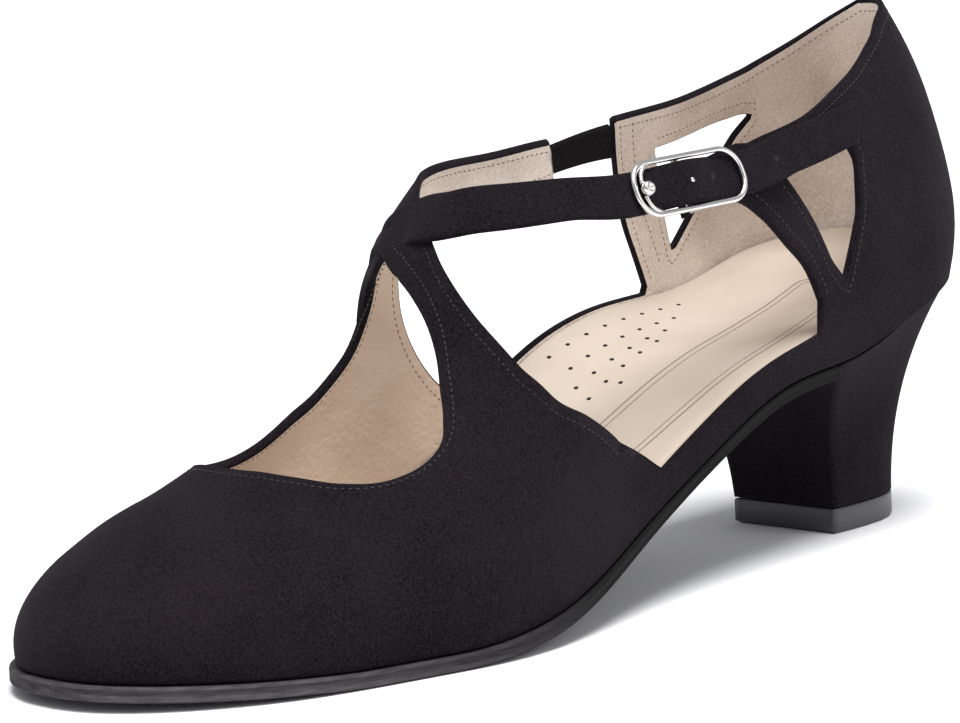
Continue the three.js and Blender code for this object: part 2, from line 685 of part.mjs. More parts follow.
function buckle() {
  const halfX = BUCKLE_LENGTH / 2 - WIRE_RADIUS;
  const halfY = BUCKLE_HALF_HEIGHT;
  const path = new THREE.CatmullRomCurve3(ringPoints(halfX, halfY, BUCKLE_CORNER, 3), true, 'centripetal');
  const ring = new THREE.TubeGeometry(path, 36, WIRE_RADIUS, 6, true);
  const studX = -halfX + STUD_FROM_END;
  const arcX = -halfX + ARC_FROM_END;
  const inner = [[arcX + 3.4, halfY], [arcX + 0.9, halfY - 1.6], [arcX, 1.4], [arcX, -1.4],
    [arcX + 0.9, 1.6 - halfY], [arcX + 3.4, -halfY]];
  const arc = new THREE.CatmullRomCurve3(
    inner.map(([x, y]) => new THREE.Vector3(x, y, ringLevel(x))), false, 'centripetal');
  const section = new THREE.Shape().absarc(0, 0, WIRE_RADIUS * 0.85, 0, 2 * Math.PI);
  const inside = new THREE.ExtrudeGeometry(section, {
    steps: 10, curveSegments: 3, extrudePath: arc, bevelEnabled: false,
  });
  const ball = new THREE.SphereGeometry(STUD_DIAMETER / 2, 8, 6);
  ball.translate(studX, 0, ringLevel(studX) + STUD_DIAMETER / 2 - WIRE_RADIUS);
  let solid = atBuckle(ring).add(atBuckle(inside)).add(atBuckle(ball));
  solid = solid.add(rodBetween(WIRE_RADIUS, [0, -halfY, BAR_LEVEL], [0, halfY, BAR_LEVEL]));
  for (const y of [-halfY, halfY]) {
    solid = solid.add(rodBetween(WIRE_RADIUS, [0, y, BAR_LEVEL], [0, y, ringLevel(0)]));
  }
  const pinTop = STRAP_HUMP + STRAP_THICKNESS / 2 + PIN_PROUD;
  return solid.add(rodBetween(PIN_DIAMETER / 2, [0, 0, BAR_LEVEL], [0, 0, pinTop]));
}

// Loops at the end of the outer quarter's arm, round the buckle's bar on
// either side of the pin
function barLoops() {
  const pipe = new THREE.Shape().absarc(0, 0, LOOP_RADIUS, 0, 2 * Math.PI);
  pipe.holes.push(new THREE.Path().absarc(0, 0, WIRE_RADIUS + GAP, 0, 2 * Math.PI, true));
  const inner = PIN_DIAMETER / 2 + GAP;
  const depth = TAB_WIDTH / 2 - TAB_MARGIN - inner;
  const loops = [];
  for (const side of [-1, 1]) {
    const loop = new THREE.ExtrudeGeometry(pipe, { depth, curveSegments: 8, bevelEnabled: false });
    loop.rotateX(-Math.PI / 2);
    loop.translate(0, side > 0 ? inner : -inner - depth, BAR_LEVEL);
    loops.push(atBuckle(loop));
  }
  return loops;
}

// The whole upper: shell, strap and loops, with room for the bar
function upper() {
  let solid = upperShell();
  const reach = 1.2 * BUCKLE_HALF_HEIGHT;
  const room = rodBetween(WIRE_RADIUS + GAP, [0, -reach, BAR_LEVEL], [0, reach, BAR_LEVEL]);
  solid = solid.subtract(room);
  for (const loop of barLoops()) solid = solid.add(loop);
  return solid.add(instepStrap());
}

// Sole parts follow the feather line from the heel breast to the toe
const OUTLINE_STEPS = 48;

// Turn left off at either end of an outline, which ends it in a short edge
const END_TURN = 0.004;

// Pairs of points across the sole, outer then inner, from a share of the
// length to the toe
function footprint(insetAt, fromShare) {
  const start = fromShare > HEEL_FAN
    ? HEEL_TURN + (TOE_TURN - HEEL_TURN) * (fromShare - HEEL_FAN) / (TOE_FAN - HEEL_FAN) : END_TURN;
  const rows = [];
  for (let i = 0; i <= OUTLINE_STEPS; i++) {
    const turn = start + (1 - END_TURN - start) * i / OUTLINE_STEPS;
    rows.push([1, -1].map((side) => lastPoint(turn, 0, side, insetAt(rib(turn, side).share))));
  }
  return rows;
}

// A closed plate between two heights over the footprint
function plate(rows, bottom, top, across) {
  const grid = (height) => rows.map(([outer, inner]) => {
    const row = [];
    for (let k = 0; k <= across; k++) {
      const p = outer.clone().lerp(inner, k / across);
      row.push(p.setZ(height(-p.y / LAST_LENGTH, k / across)));
    }
    return row;
  });
  const points = [grid(bottom), grid(top)].flat(2);
  const n = across + 1;
  const count = rows.length * n;
  const faces = [];
  for (let i = 0; i < rows.length - 1; i++) {
    for (let k = 0; k < across; k++) {
      const [a, b, c, d] = [i * n + k, i * n + k + 1, (i + 1) * n + k + 1, (i + 1) * n + k];
      faces.push([c, b, a], [d, c, a]);
      faces.push([count + a, count + b, count + c], [count + a, count + c, count + d]);
    }
    const [outerA, outerD] = [i * n, (i + 1) * n];
    const [innerA, innerD] = [outerA + across, outerD + across];
    faces.push([outerD, outerA, count + outerA], [outerD, count + outerA, count + outerD]);
    faces.push([innerA, innerD, count + innerD], [innerA, count + innerD, count + innerA]);
  }
  const end = (rows.length - 1) * n;
  for (let k = 0; k < across; k++) {
    faces.push([k, k + 1, count + k + 1], [k, count + k + 1, count + k]);
    faces.push([end + k + 1, end + k, count + end + k]);
    faces.push([end + k + 1, count + end + k, count + end + k + 1]);
  }
  return toSolid(geometryFrom(points, faces));
}

function outsole() {
  const proud = (share) => -SOLE_PROUD * clamp((share - 0.45) / 0.2, 0, 1);
  const top = (share) => featherZ(share) - GAP;
  const rows = footprint(proud, (HEEL_BREAST + GAP) / LAST_LENGTH);
  return plate(rows, (share) => top(share) - SOLE_THICKNESS, top, 2);
}

function insoleTop(share, across) {
  const outer = insoleEdge.outer(share) * ARCH_RISE;
  const inner = insoleEdge.inner(share) * ARCH_RISE;
  const cup = SEAT_CUP * clamp(1 - share / SEAT_SHARE, 0, 1) * (1 - (2 * across - 1) ** 2);
  return featherZ(share) + Math.max(outer + (inner - outer) * across ** 1.8 - cup, INSOLE_EDGE);
}

function insole() {
  const inset = UPPER_WALL + INSOLE_CLEARANCE;
  return plate(footprint(() => inset, 0), featherZ, insoleTop, 4);
}

// Heel block: rings from the D-shaped base up to the seat. The exponents give
// the D its round corners and set how late its sides and back flare.
const HEEL_RINGS = 9;
const HEEL_POINTS = 30;
const HEEL_CORNER = 2.9;
const HEEL_UNDER_SEAT = 0.6;

function heelOutline(height) {
  const breastRise = 0.35 * height + 0.65 * height ** 2.4;
  const backRise = 0.25 * height + 0.75 * height ** 2.2;
  const sideRise = 0.8 * height ** 2.6 + 0.1 * height + 0.1 * height ** 3;
  const front = HEEL_BASE_FRONT + (HEEL_BREAST - HEEL_BASE_FRONT) * breastRise;
  const back = HEEL_BASE_BACK + (HEEL_TUCK + HEEL_UNDER_SEAT - HEEL_BASE_BACK) * backRise;
  const ring = [];
  for (let i = 0; i <= HEEL_POINTS; i++) {
    const angle = Math.PI * i / HEEL_POINTS;
    const sine = Math.sin(angle);
    const s = front - (front - back) * sine ** (2 / HEEL_CORNER);
    const seat = clamp(s / LAST_LENGTH, 0.0, 1);
    const wide = last.half(seat) * BALL_WIDTH - HEEL_UNDER_SEAT;
    const half = HEEL_BASE_WIDTH / 2 + (wide - HEEL_BASE_WIDTH / 2) * sideRise;
    const x = half * Math.sign(Math.cos(angle)) * Math.abs(Math.cos(angle)) ** (2 / HEEL_CORNER);
    ring.push(new THREE.Vector2(x + last.centre(seat) * BALL_WIDTH * height, s));
  }
  return ring;
}

function heelBlock() {
  const rings = [];
  const base = TOP_PIECE_HEIGHT + GAP;
  for (let k = 0; k <= HEEL_RINGS; k++) {
    const height = k / HEEL_RINGS;
    rings.push(heelOutline(height).map((q) => {
      const seat = featherZ(clamp(q.y / LAST_LENGTH, 0, 1)) - SEAT_CLEARANCE;
      return new THREE.Vector3(q.x, -q.y, base + (seat - base) * height);
    }));
  }
  return toSolid(loftRings(rings));
}

function heelTopPiece() {
  const ring = heelOutline(0);
  const level = (z, inset) => ring.map((q) => {
    const k = 1 - inset / (HEEL_BASE_WIDTH / 2);
    const middle = (HEEL_BASE_FRONT + HEEL_BASE_BACK) / 2;
    return new THREE.Vector3(q.x * k, -(middle + (q.y - middle) * k), z);
  });
  return toSolid(loftRings([level(0, 0.5), level(0.5, 0), level(TOP_PIECE_HEIGHT, 0)]));
}

const group = new THREE.Group();
group.name = 'dance_shoe';

function addPart(name, solid, material) {
  const mesh = new THREE.Mesh(toGeometry(solid), material);
  mesh.name = name;
  group.add(mesh);
}

addPart('upper', upper(), SUEDE);
addPart('elastic', elasticStrip(), ELASTIC);
addPart('buckle', buckle(), NICKEL);
addPart('outsole', outsole(), SOLE_LEATHER);
addPart('insole', insole(), INSOLE_LEATHER);
addPart('heel_block', heelBlock(), SUEDE);
addPart('heel_top_piece', heelTopPiece(), PLASTIC);

// The origin goes under the middle of the whole shoe, on the floor
const extent = new THREE.Box3().setFromObject(group);
group.position.set(-(extent.min.x + extent.max.x) / 2, -(extent.min.y + extent.max.y) / 2, 0);

export default group;
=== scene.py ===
import math

import bpy
import numpy as np
from mathutils import Matrix, Vector, geometry


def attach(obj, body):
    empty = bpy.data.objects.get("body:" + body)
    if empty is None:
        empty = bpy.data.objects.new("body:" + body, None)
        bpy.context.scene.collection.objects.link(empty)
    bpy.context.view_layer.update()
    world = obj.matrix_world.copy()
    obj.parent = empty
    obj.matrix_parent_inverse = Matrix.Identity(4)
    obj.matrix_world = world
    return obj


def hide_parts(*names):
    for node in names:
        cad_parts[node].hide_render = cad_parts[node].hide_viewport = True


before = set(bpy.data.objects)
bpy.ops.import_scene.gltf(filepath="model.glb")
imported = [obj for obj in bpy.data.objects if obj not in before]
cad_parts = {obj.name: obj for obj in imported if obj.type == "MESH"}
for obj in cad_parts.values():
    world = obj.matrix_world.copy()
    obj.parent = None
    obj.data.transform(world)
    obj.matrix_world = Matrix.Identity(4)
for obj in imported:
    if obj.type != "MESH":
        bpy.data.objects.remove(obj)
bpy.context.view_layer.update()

# View: the photograph's camera on the outer toe side, low over the floor,
# and a plain white floor under soft studio light from above.
FOCAL_PIXELS = 4080
PICTURE_WIDTH = 960
FILM_WIDTH = 36
CAMERA_AZIMUTH = math.radians(44.43)
CAMERA_HEIGHT_ANGLE = math.radians(8.2)
CAMERA_ROLL = math.radians(-2.76)
CAMERA_DISTANCE = 782.42
CAMERA_TARGET = Vector((-8.418, -6.83, 45.15))

back = Vector((
    math.sin(CAMERA_AZIMUTH) * math.cos(CAMERA_HEIGHT_ANGLE),
    -math.cos(CAMERA_AZIMUTH) * math.cos(CAMERA_HEIGHT_ANGLE),
    math.sin(CAMERA_HEIGHT_ANGLE),
))
level = (-back).cross(Vector((0, 0, 1))).normalized()
upright = level.cross(-back)
right = math.cos(CAMERA_ROLL) * level + math.sin(CAMERA_ROLL) * upright
up = -math.sin(CAMERA_ROLL) * level + math.cos(CAMERA_ROLL) * upright
camera = bpy.data.objects.new("camera", bpy.data.cameras.new("camera"))
bpy.context.collection.objects.link(camera)
turned = Matrix((right, up, back)).transposed().to_4x4()
camera.matrix_world = Matrix.Translation((CAMERA_TARGET + back * CAMERA_DISTANCE) / 1000) @ turned
camera.data.sensor_width = FILM_WIDTH
camera.data.lens = FOCAL_PIXELS * FILM_WIDTH / PICTURE_WIDTH
camera.data.clip_start = 0.05
camera.data.clip_end = 30
bpy.context.scene.camera = camera
bpy.context.scene.view_settings.view_transform = "Standard"


def add_light(name, kind, place, aim, energy, **settings):
    lamp = bpy.data.objects.new(name, bpy.data.lights.new(name, kind))
    lamp.data.energy = energy
    for key, value in settings.items():
        setattr(lamp.data, key, value)
    direction = Vector(aim) - Vector(place)
    lamp.matrix_world = Matrix.Translation(place) @ direction.to_track_quat("-Z", "Y").to_matrix().to_4x4()
    bpy.context.collection.objects.link(lamp)


add_light("overhead", "SUN", (0.45, -0.15, 2.2), (0, 0, 0), 3.4, angle=math.radians(34))
add_light("fill", "AREA", (1.3, 0.35, 0.75), (0, 0, 0.05), 4, size=0.9)
add_light("front", "AREA", (0.6, -0.9, 1.7), (0, 0, 0.05), 6, size=0.9)
world = bpy.data.worlds.new("studio")
world.use_nodes = True
world.node_tree.nodes["Background"].inputs["Color"].default_value = (0.97, 0.98, 1, 1)
world.node_tree.nodes["Background"].inputs["Strength"].default_value = 0.5
bpy.context.scene.world = world


def linear(code):
    """Linear colour from an sRGB hex value."""
    parts = [int(code[i:i + 2], 16) / 255 for i in (1, 3, 5)]
    return [c / 12.92 if c <= 0.04045 else ((c + 0.055) / 1.055) ** 2.4 for c in parts] + [1]


def two_tones(dark, light):
    """Settings of a colour mix from one sRGB tone to the other."""
    return {"data_type": "RGBA", 6: linear(dark), 7: linear(light)}


def result_of(node):
    """The node's first output in use."""
    return next(output for output in node.outputs if output.enabled)


def add_node(tree, kind, settings=(), into=None, **links):
    """A node with its settings and links by name or number, and the socket
    that its result goes into."""
    node = tree.nodes.new(kind)
    for key, value in dict(settings, **links).items():
        if isinstance(value, bpy.types.Node):
            value = result_of(value)
        if isinstance(value, bpy.types.NodeSocket):
            tree.links.new(value, node.inputs[key])
        elif isinstance(key, str) and hasattr(node, key):
            setattr(node, key, value)
        else:
            node.inputs[key].default_value = value
    if into is not None:
        tree.links.new(result_of(node), into)
    return node


def new_material(name, constants):
    """A material, its tree, its shader's sockets and the place on the object."""
    material = bpy.data.materials.new(name)
    material.use_nodes = True
    tree = material.node_tree
    sockets = tree.nodes["Principled BSDF"].inputs
    for socket, value in constants.items():
        sockets[socket].default_value = value
    return material, tree, sockets, add_node(tree, "ShaderNodeTexCoord").outputs["Object"]


# Matt white paper sweep: it only takes the shoe's soft shadow.
floor_paper = new_material("matt_white_paper", {
    "Base Color": linear("#f2f2f4"), "Roughness": 1, "Specular IOR Level": 0})[0]
floor_mesh = bpy.data.meshes.new("floor")
floor_mesh.from_pydata([(-9, -9, 0), (9, -9, 0), (9, 9, 0), (-9, 9, 0)], [], [(0, 1, 2, 3)])
floor_mesh.transform(Matrix.Translation((0, 0, -0.0002)))
floor = bpy.data.objects.new("floor", floor_mesh)
floor.data.materials.append(floor_paper)
bpy.context.collection.objects.link(floor)

# Last: the form that the shoe is lasted on. It isn't in the shoe, but its
# tables give the upper, the insole and the sole their shape.
LAST_LENGTH = 239
BALL_WIDTH = 70.4
SEAT_HEIGHT = 47.7
INSTEP_HEIGHT = 92
SOLE_THICKNESS = 2.7
GAP = 0.3
FEATHER_BASE = SOLE_THICKNESS + GAP
HEEL_FAN, TOE_FAN = 0.13, 0.86
HEEL_ROUND, TOE_ROUND = 2.2, 2.4
HEEL_TURN, TOE_TURN = 0.16, 0.80
LEAN_REACH = 60
HEEL_TUCK, TUCK_REACH = 3, 18
ORIGIN_SHIFT = (-1.4876, 120.5085, 0)
LAST_COLUMNS = ("along", "centre", "half", "feather", "ridge", "shift", "bulge", "lean",
                "crown", "outer_side", "inner_side")
LAST_ROWS = (
    (0.00, -0.021, 0.366, 0.973, 1.739, 0.000, 0.043, 0.213, 2.4, 2.6, 2.6),
    (0.06, -0.021, 0.364, 0.947, 1.674, 0.000, 0.043, 0.199, 2.4, 2.6, 2.6),
    (0.13, -0.021, 0.369, 0.868, 1.609, 0.000, 0.043, 0.156, 2.4, 2.6, 2.6),
    (0.22, 0.003, 0.366, 0.744, 1.435, -0.014, 0.036, 0.111, 2.4, 2.5, 2.6),
    (0.32, 0.023, 0.366, 0.682, 1.272, -0.043, 0.031, 0.071, 2.4, 2.2, 2.7),
    (0.42, 0.034, 0.378, 0.495, 1.141, -0.085, 0.028, 0.040, 2.4, 2.0, 3.0),
    (0.52, 0.043, 0.409, 0.279, 1.000, -0.114, 0.028, 0.020, 2.3, 2.0, 3.4),
    (0.62, 0.054, 0.466, 0.094, 0.750, -0.114, 0.021, 0.011, 2.3, 2.1, 3.2),
    (0.70, 0.040, 0.500, 0.018, 0.522, -0.085, 0.014, 0.007, 2.2, 2.2, 2.7),
    (0.78, -0.003, 0.494, -0.006, 0.418, -0.057, 0.021, 0.004, 2.1, 2.2, 2.3),
    (0.86, -0.034, 0.457, 0.006, 0.348, -0.028, 0.028, 0.000, 2.0, 2.2, 2.2),
    (0.93, -0.062, 0.402, 0.022, 0.315, -0.014, 0.036, 0.000, 2.0, 2.2, 2.2),
    (1.00, -0.078, 0.339, 0.040, 0.261, 0.000, 0.036, 0.000, 2.0, 2.2, 2.2),
)


def spline_through(xs, ys):
    """Natural cubic spline through the points of one table column."""
    xs, ys = np.asarray(xs, float), np.asarray(ys, float)
    step = np.diff(xs)
    matrix, right_side = np.eye(len(xs)), np.zeros(len(xs))
    for i in range(1, len(xs) - 1):
        matrix[i, i - 1:i + 2] = step[i - 1], 2 * (step[i - 1] + step[i]), step[i]
        right_side[i] = 6 * ((ys[i + 1] - ys[i]) / step[i] - (ys[i] - ys[i - 1]) / step[i - 1])
    bend = np.linalg.solve(matrix, right_side)

    def value(x):
        x = np.clip(x, xs[0], xs[-1])
        i = np.clip(np.searchsorted(xs, x, side="right") - 1, 0, len(xs) - 2)
        a = (xs[i + 1] - x) / step[i]
        b = 1 - a
        curve = ((a**3 - a) * bend[i] + (b**3 - b) * bend[i + 1]) * step[i]**2 / 6
        return a * ys[i] + b * ys[i + 1] + curve

    return value


def table_splines(columns, rows):
    whole = np.array(rows).T
    return {name: spline_through(whole[0], column) for name, column in zip(columns, whole)}


last = table_splines(LAST_COLUMNS, LAST_ROWS)


def feather_z(share):
    return FEATHER_BASE + np.maximum(last["feather"](share), 0) * SEAT_HEIGHT


def ridge_z(share):
    return last["ridge"](share) * INSTEP_HEIGHT


def rib(turn, side):
    """One rib of the last, from its hub on the ridge to the feather line."""
    heel = np.clip(1 - turn / HEEL_TURN, 0, 1) * math.pi / 2
    toe = np.clip((turn - TOE_TURN) / (1 - TOE_TURN), 0, 1) * math.pi / 2
    straight = HEEL_FAN + (TOE_FAN - HEEL_FAN) * (turn - HEEL_TURN) / (TOE_TURN - HEEL_TURN)
    share = np.where(turn < HEEL_TURN, HEEL_FAN * (1 - np.sin(heel)**(2 / HEEL_ROUND)), straight)
    share = np.where(turn > TOE_TURN, TOE_FAN + (1 - TOE_FAN) * np.sin(toe)**(2 / TOE_ROUND), share)
    narrow = np.abs(np.cos(heel))**(2 / HEEL_ROUND) * np.abs(np.cos(toe))**(2 / TOE_ROUND)
    hub = np.clip(share, HEEL_FAN, TOE_FAN)
    hub_x = (last["centre"](hub) + last["shift"](hub)) * BALL_WIDTH
    dx = (last["centre"](share) + side * last["half"](share) * narrow) * BALL_WIDTH - hub_x
    ds = (share - hub) * LAST_LENGTH
    return share, hub, hub_x, dx, ds, np.hypot(dx, ds)

def turn_at(share):
    """The turn of the straight rib at a share of the length."""
    return HEEL_TURN + (TOE_TURN - HEEL_TURN) * (share - HEEL_FAN) / (TOE_FAN - HEEL_FAN)
TOE_SLOPE = float(ridge_z(TOE_FAN - 0.01) - ridge_z(TOE_FAN)) / (0.01 * LAST_LENGTH)


def last_point(turn, over, inset=0.0):
    """Points on the last: over is 0 on the ridge, 1 and -1 on the feather line."""
    turn, over = np.broadcast_arrays(np.asarray(turn, float), np.asarray(over, float))
    side = np.where(over < 0, -1.0, 1.0)
    angle = (1 - np.abs(over)) * math.pi / 2
    share, hub, hub_x, dx, ds, reach = rib(turn, side)
    curve = np.where(side > 0, last["outer_side"](share), last["inner_side"](share))
    cosine = np.maximum(np.cos(angle), 0)
    foot = feather_z(share)
    swell = last["bulge"](share) * BALL_WIDTH * np.maximum(np.sin(2 * angle), 0)**1.2 * cosine
    out = (reach - inset) * cosine**(2 / curve) + swell
    top = ridge_z(hub) - inset - TOE_SLOPE * np.clip(ds / reach, 0, 1) * out - foot
    z = foot + top * np.maximum(np.sin(angle), 0)**(2 / last["crown"](share))
    lean = last["lean"](share) * BALL_WIDTH * np.clip((z - foot) / LEAN_REACH, 0, 1.3)**2
    low = np.clip(1 - (z - foot) / TUCK_REACH, 0, 1)
    tuck = HEEL_TUCK * np.clip(1 - share / HEEL_FAN, 0, 1) * low**2
    out = np.maximum(out - lean - tuck, 0)
    return np.stack([hub_x + dx / reach * out, -(hub * LAST_LENGTH + ds / reach * out), z], -1)


def climb_at(turn, height):
    share, hub = rib(turn, 1)[:2]
    whole = ridge_z(hub) - feather_z(share)
    return np.arcsin(np.clip(height / whole, 0, 1)**(last["crown"](share) / 2)) / (math.pi / 2)


def unit(v):
    return v / np.maximum(np.linalg.norm(v, axis=-1, keepdims=True), 1e-9)


def last_normal(turn, over):
    step = 1e-3
    turn, over = np.clip(turn, step, 1 - step), np.clip(over, step - 1, 1 - step)
    across = last_point(turn, over + step) - last_point(turn, over - step)
    along = last_point(turn + step, over) - last_point(turn - step, over)
    return unit(np.cross(across, along))


def metres(points):
    return ((np.asarray(points) + ORIGIN_SHIFT) / 1000).tolist()


def add_piece(name, mesh, node=None):
    """A smooth piece from its mesh, riding the shoe's one body."""
    mesh.polygons.foreach_set("use_smooth", [True] * len(mesh.polygons))
    piece = bpy.data.objects.new(name, mesh)
    bpy.context.collection.objects.link(piece)
    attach(piece, "root")
    if node:
        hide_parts(node)


def make_piece(name, points, faces, materials, slot, node=None, looks=None):
    """A piece from millimetre points on the last."""
    mesh = bpy.data.meshes.new(name)
    mesh.from_pydata(metres(points), [], [list(map(int, f)) for f in faces])
    for material in materials:
        mesh.materials.append(material)
    if looks:
        mesh.polygons.foreach_set("material_index", looks)
    mesh.update()
    add_piece(name, mesh, node)


# Insole: a moulded board covered in smooth pale leather, with punched rows of
# breathing holes. It is bonded inside the upper and rises into the arch.
INSOLE_EDGE = 2.8
INSOLE_CLEARANCE = 0.5
UPPER_WALL = 1.7
SEAT_CUP = 2
SEAT_SHARE = 0.2
ARCH_RISE = 14
ROW_PITCH, END_REACH, FAR = 1.2, 4, 99
TOE_END = 0.996
INSOLE_ROWS = (
    # along, outer, inner
    (0.00, 0.62, 0.64), (0.10, 0.59, 0.64), (0.18, 0.60, 0.72), (0.25, 0.54, 0.81),
    (0.30, 0.44, 0.86), (0.35, 0.44, 0.95), (0.40, 0.47, 1.02), (0.45, 0.47, 0.94),
    (0.50, 0.45, 0.76), (0.56, 0.40, 0.56), (0.64, 0.32, 0.38), (0.74, 0.25, 0.26),
    (1.00, 0.22, 0.22),
)
insole_edge = table_splines(("along", "outer", "inner"), INSOLE_ROWS)


def insole_top(share, across):
    outer = insole_edge["outer"](share) * ARCH_RISE
    inner = insole_edge["inner"](share) * ARCH_RISE
    cup = SEAT_CUP * np.clip(1 - share / SEAT_SHARE, 0, 1) * (1 - (2 * across - 1)**2)
    return feather_z(share) + np.maximum(outer + (inner - outer) * across**1.8 - cup, INSOLE_EDGE)


def facing_out(points, faces):
    """The faces, turned round where the closed mesh is inside out."""
    fans = np.array([(f[0], f[k], f[k + 1]) for f in faces for k in range(1, len(f) - 1)])
    a, b, c = np.asarray(points)[fans].transpose(1, 0, 2)
    return faces if np.sum(a * np.cross(b, c)) > 0 else [list(f)[::-1] for f in faces]


def closed_skins(top, bottom):
    """One closed mesh from two grids of the same size."""
    rows, n = top.shape[:2]
    index = np.arange(rows * n).reshape(rows, n)
    quads = np.stack([index[:-1, :-1], index[:-1, 1:], index[1:, 1:], index[1:, :-1]], -1).reshape(-1, 4)
    ring = np.concatenate([index[:, 0], index[-1, 1:], index[-2::-1, -1], index[0, -2:0:-1]])
    after, under = np.roll(ring, -1), rows * n
    wall = np.stack([ring, after, after + under, ring + under], -1)
    points = np.concatenate([top.reshape(-1, 3), bottom.reshape(-1, 3)])
    return points, facing_out(points, np.concatenate([quads, quads[:, ::-1] + under, wall[:, ::-1]]))


def plate(first_turn, rows, inset_at, bottom_at, top_at, edge):
    """A closed plate over the footprint, its upper and lower edges rounded."""
    turn = np.linspace(first_turn, TOE_END, rows)
    across = np.concatenate([[0, 0.004, 0.015, 0.04], np.linspace(0.08, 0.92, 22), [0.96, 0.985, 0.996, 1]])
    outer, inner = (last_point(turn, side * np.ones(rows), inset_at(rib(turn, side)[0]))[:, None, :2]
                    for side in (1, -1))
    flat = outer + (inner - outer) * across[None, :, None]
    share = -flat[..., 1] / LAST_LENGTH
    wide = np.linalg.norm(inner - outer, axis=-1)
    from_side = np.minimum(across, 1 - across)[None] * wide
    from_end = np.minimum(np.arange(rows), rows - 1 - np.arange(rows))[:, None] * ROW_PITCH
    near = np.clip(1 - np.minimum(from_side, from_end + FAR * (from_end > END_REACH)) / edge, 0, 1)
    drop = edge * (1 - np.sqrt(np.maximum(1 - near**2, 0)))
    top = np.dstack([flat, top_at(share, across[None]) - drop])
    return closed_skins(top, np.dstack([flat, bottom_at(share) + drop * 0.5]))


smooth_leather, tree, sockets, place = new_material("smooth_cream_leather", {
    "Roughness": 0.48, "Specular IOR Level": 0.35})
# Faint uneven tone and a fine pore, so the pale leather isn't a flat colour
tone = add_node(tree, "ShaderNodeTexNoise", {"Scale": 60, "Detail": 5}, Vector=place)
add_node(tree, "ShaderNodeMix", two_tones("#b3a495", "#c5b8ab"), sockets["Base Color"], Factor=tone)
pores = add_node(tree, "ShaderNodeTexNoise", {"Scale": 1600, "Detail": 3}, Vector=place)
add_node(tree, "ShaderNodeBump", {"Strength": 0.12, "Distance": 0.0002}, sockets["Normal"], Height=pores)

inset = UPPER_WALL + INSOLE_CLEARANCE
points, faces = plate(1 - TOE_END, 190, lambda share: inset, feather_z, insole_top, 0.9)
make_piece("insole", points, faces, [smooth_leather], "insole_leather", "insole")

# Perforations: rows of breathing holes punched through the insole's cover
# where the arch rises, each a shallow pit painted nearly black as painted shade for its depth.
PERFORATION_ROWS = (
    # x and s of the first hole, x and s of the last one, count
    (-17.4, 97.0, -13.5, 62.0, 8), (-11.2, 97.5, -8.4, 69.4, 7), (-6.2, 101.5, -5.0, 76.0, 6),
    (-1.5, 103.0, -2.8, 81.0, 5), (1.2, 96.6, 1.2, 96.6, 1),
)
PERFORATION_RADIUS = 0.46
PERFORATION_DEPTH = 0.12
PERFORATION_LIFT = 0.02
SLOPE_STEP = 0.5


def on_insole(x, s, lift):
    """Points on the insole's upper face at x and s, raised by lift."""
    turn = turn_at(np.asarray(s) / LAST_LENGTH)
    outer, inner = (last_point(turn, side * np.ones_like(turn), inset)[..., 0] for side in (1, -1))
    height = insole_top(s / LAST_LENGTH, (outer - x) / (outer - inner))
    return np.stack([x, -s, height + lift], -1)


def carrier_mesh(name, runs):
    """Loose lines or points with their outward direction, for a node tree."""
    points, outward = (np.concatenate(part) for part in zip(*runs))
    edges, first = [], 0
    for line, _ in runs:
        edges += [(first + i, first + i + 1) for i in range(len(line) - 1)]
        first += len(line)
    mesh = bpy.data.meshes.new(name)
    mesh.from_pydata(metres(points), edges, [])
    values = mesh.attributes.new("outward", "FLOAT_VECTOR", "POINT")
    values.data.foreach_set("vector", outward.astype(np.float32).ravel())
    return mesh


def new_tree(name, lengths):
    """A tree with its named inputs, and the rotation that faces outward."""
    tree = bpy.data.node_groups.new(name, "GeometryNodeTree")
    tree.interface.new_socket("Geometry", in_out="INPUT", socket_type="NodeSocketGeometry")
    for length in lengths:
        tree.interface.new_socket(length, in_out="INPUT", socket_type="NodeSocketFloat")
    tree.interface.new_socket("Material", in_out="INPUT", socket_type="NodeSocketMaterial")
    tree.interface.new_socket("Geometry", in_out="OUTPUT", socket_type="NodeSocketGeometry")
    stored = {"data_type": "FLOAT_VECTOR", "Name": "outward"}
    outward = add_node(tree, "GeometryNodeInputNamedAttribute", stored)
    facing = add_node(tree, "FunctionNodeAlignRotationToVector", {"axis": "Z"}, Vector=outward)
    return tree, add_node(tree, "NodeGroupInput").outputs, facing


def end_tree(tree, material, **placing):
    """Puts an instance on each point and ends the tree in real geometry."""
    placed = add_node(tree, "GeometryNodeInstanceOnPoints", **placing)
    real = add_node(tree, "GeometryNodeRealizeInstances", Geometry=placed)
    coated = add_node(tree, "GeometryNodeSetMaterial", Geometry=real, Material=material)
    add_node(tree, "NodeGroupOutput", Geometry=coated)


def grow(name, tree, runs, lengths, material):
    """Runs the tree on the carrier and keeps its result as a plain piece."""
    carrier = bpy.data.objects.new(name + "_carrier", carrier_mesh(name, runs))
    bpy.context.collection.objects.link(carrier)
    modifier = carrier.modifiers.new(name, "NODES")
    modifier.node_group = tree
    for socket in tree.interface.items_tree:
        if socket.name in lengths:
            modifier[socket.identifier] = lengths[socket.name] / 1000
        elif socket.name == "Material":
            modifier[socket.identifier] = material
    graph = bpy.context.evaluated_depsgraph_get()
    result = bpy.data.meshes.new_from_object(carrier.evaluated_get(graph), depsgraph=graph)
    carrier.modifiers.remove(modifier)
    bpy.data.objects.remove(carrier)
    add_piece(name, result)


hole_shade_paint, tree, sockets, place = new_material("dark_hole_painted_shade", {"Roughness": 1})
# Painted shade: each hole is a nearly black plug standing in for the shade down the hole, with a faint fibre
# speckle
fibre = add_node(tree, "ShaderNodeTexNoise", {"Scale": 3000}, Vector=place)
add_node(tree, "ShaderNodeMix", two_tones("#0c0908", "#241c19"), sockets["Base Color"], Factor=fibre)

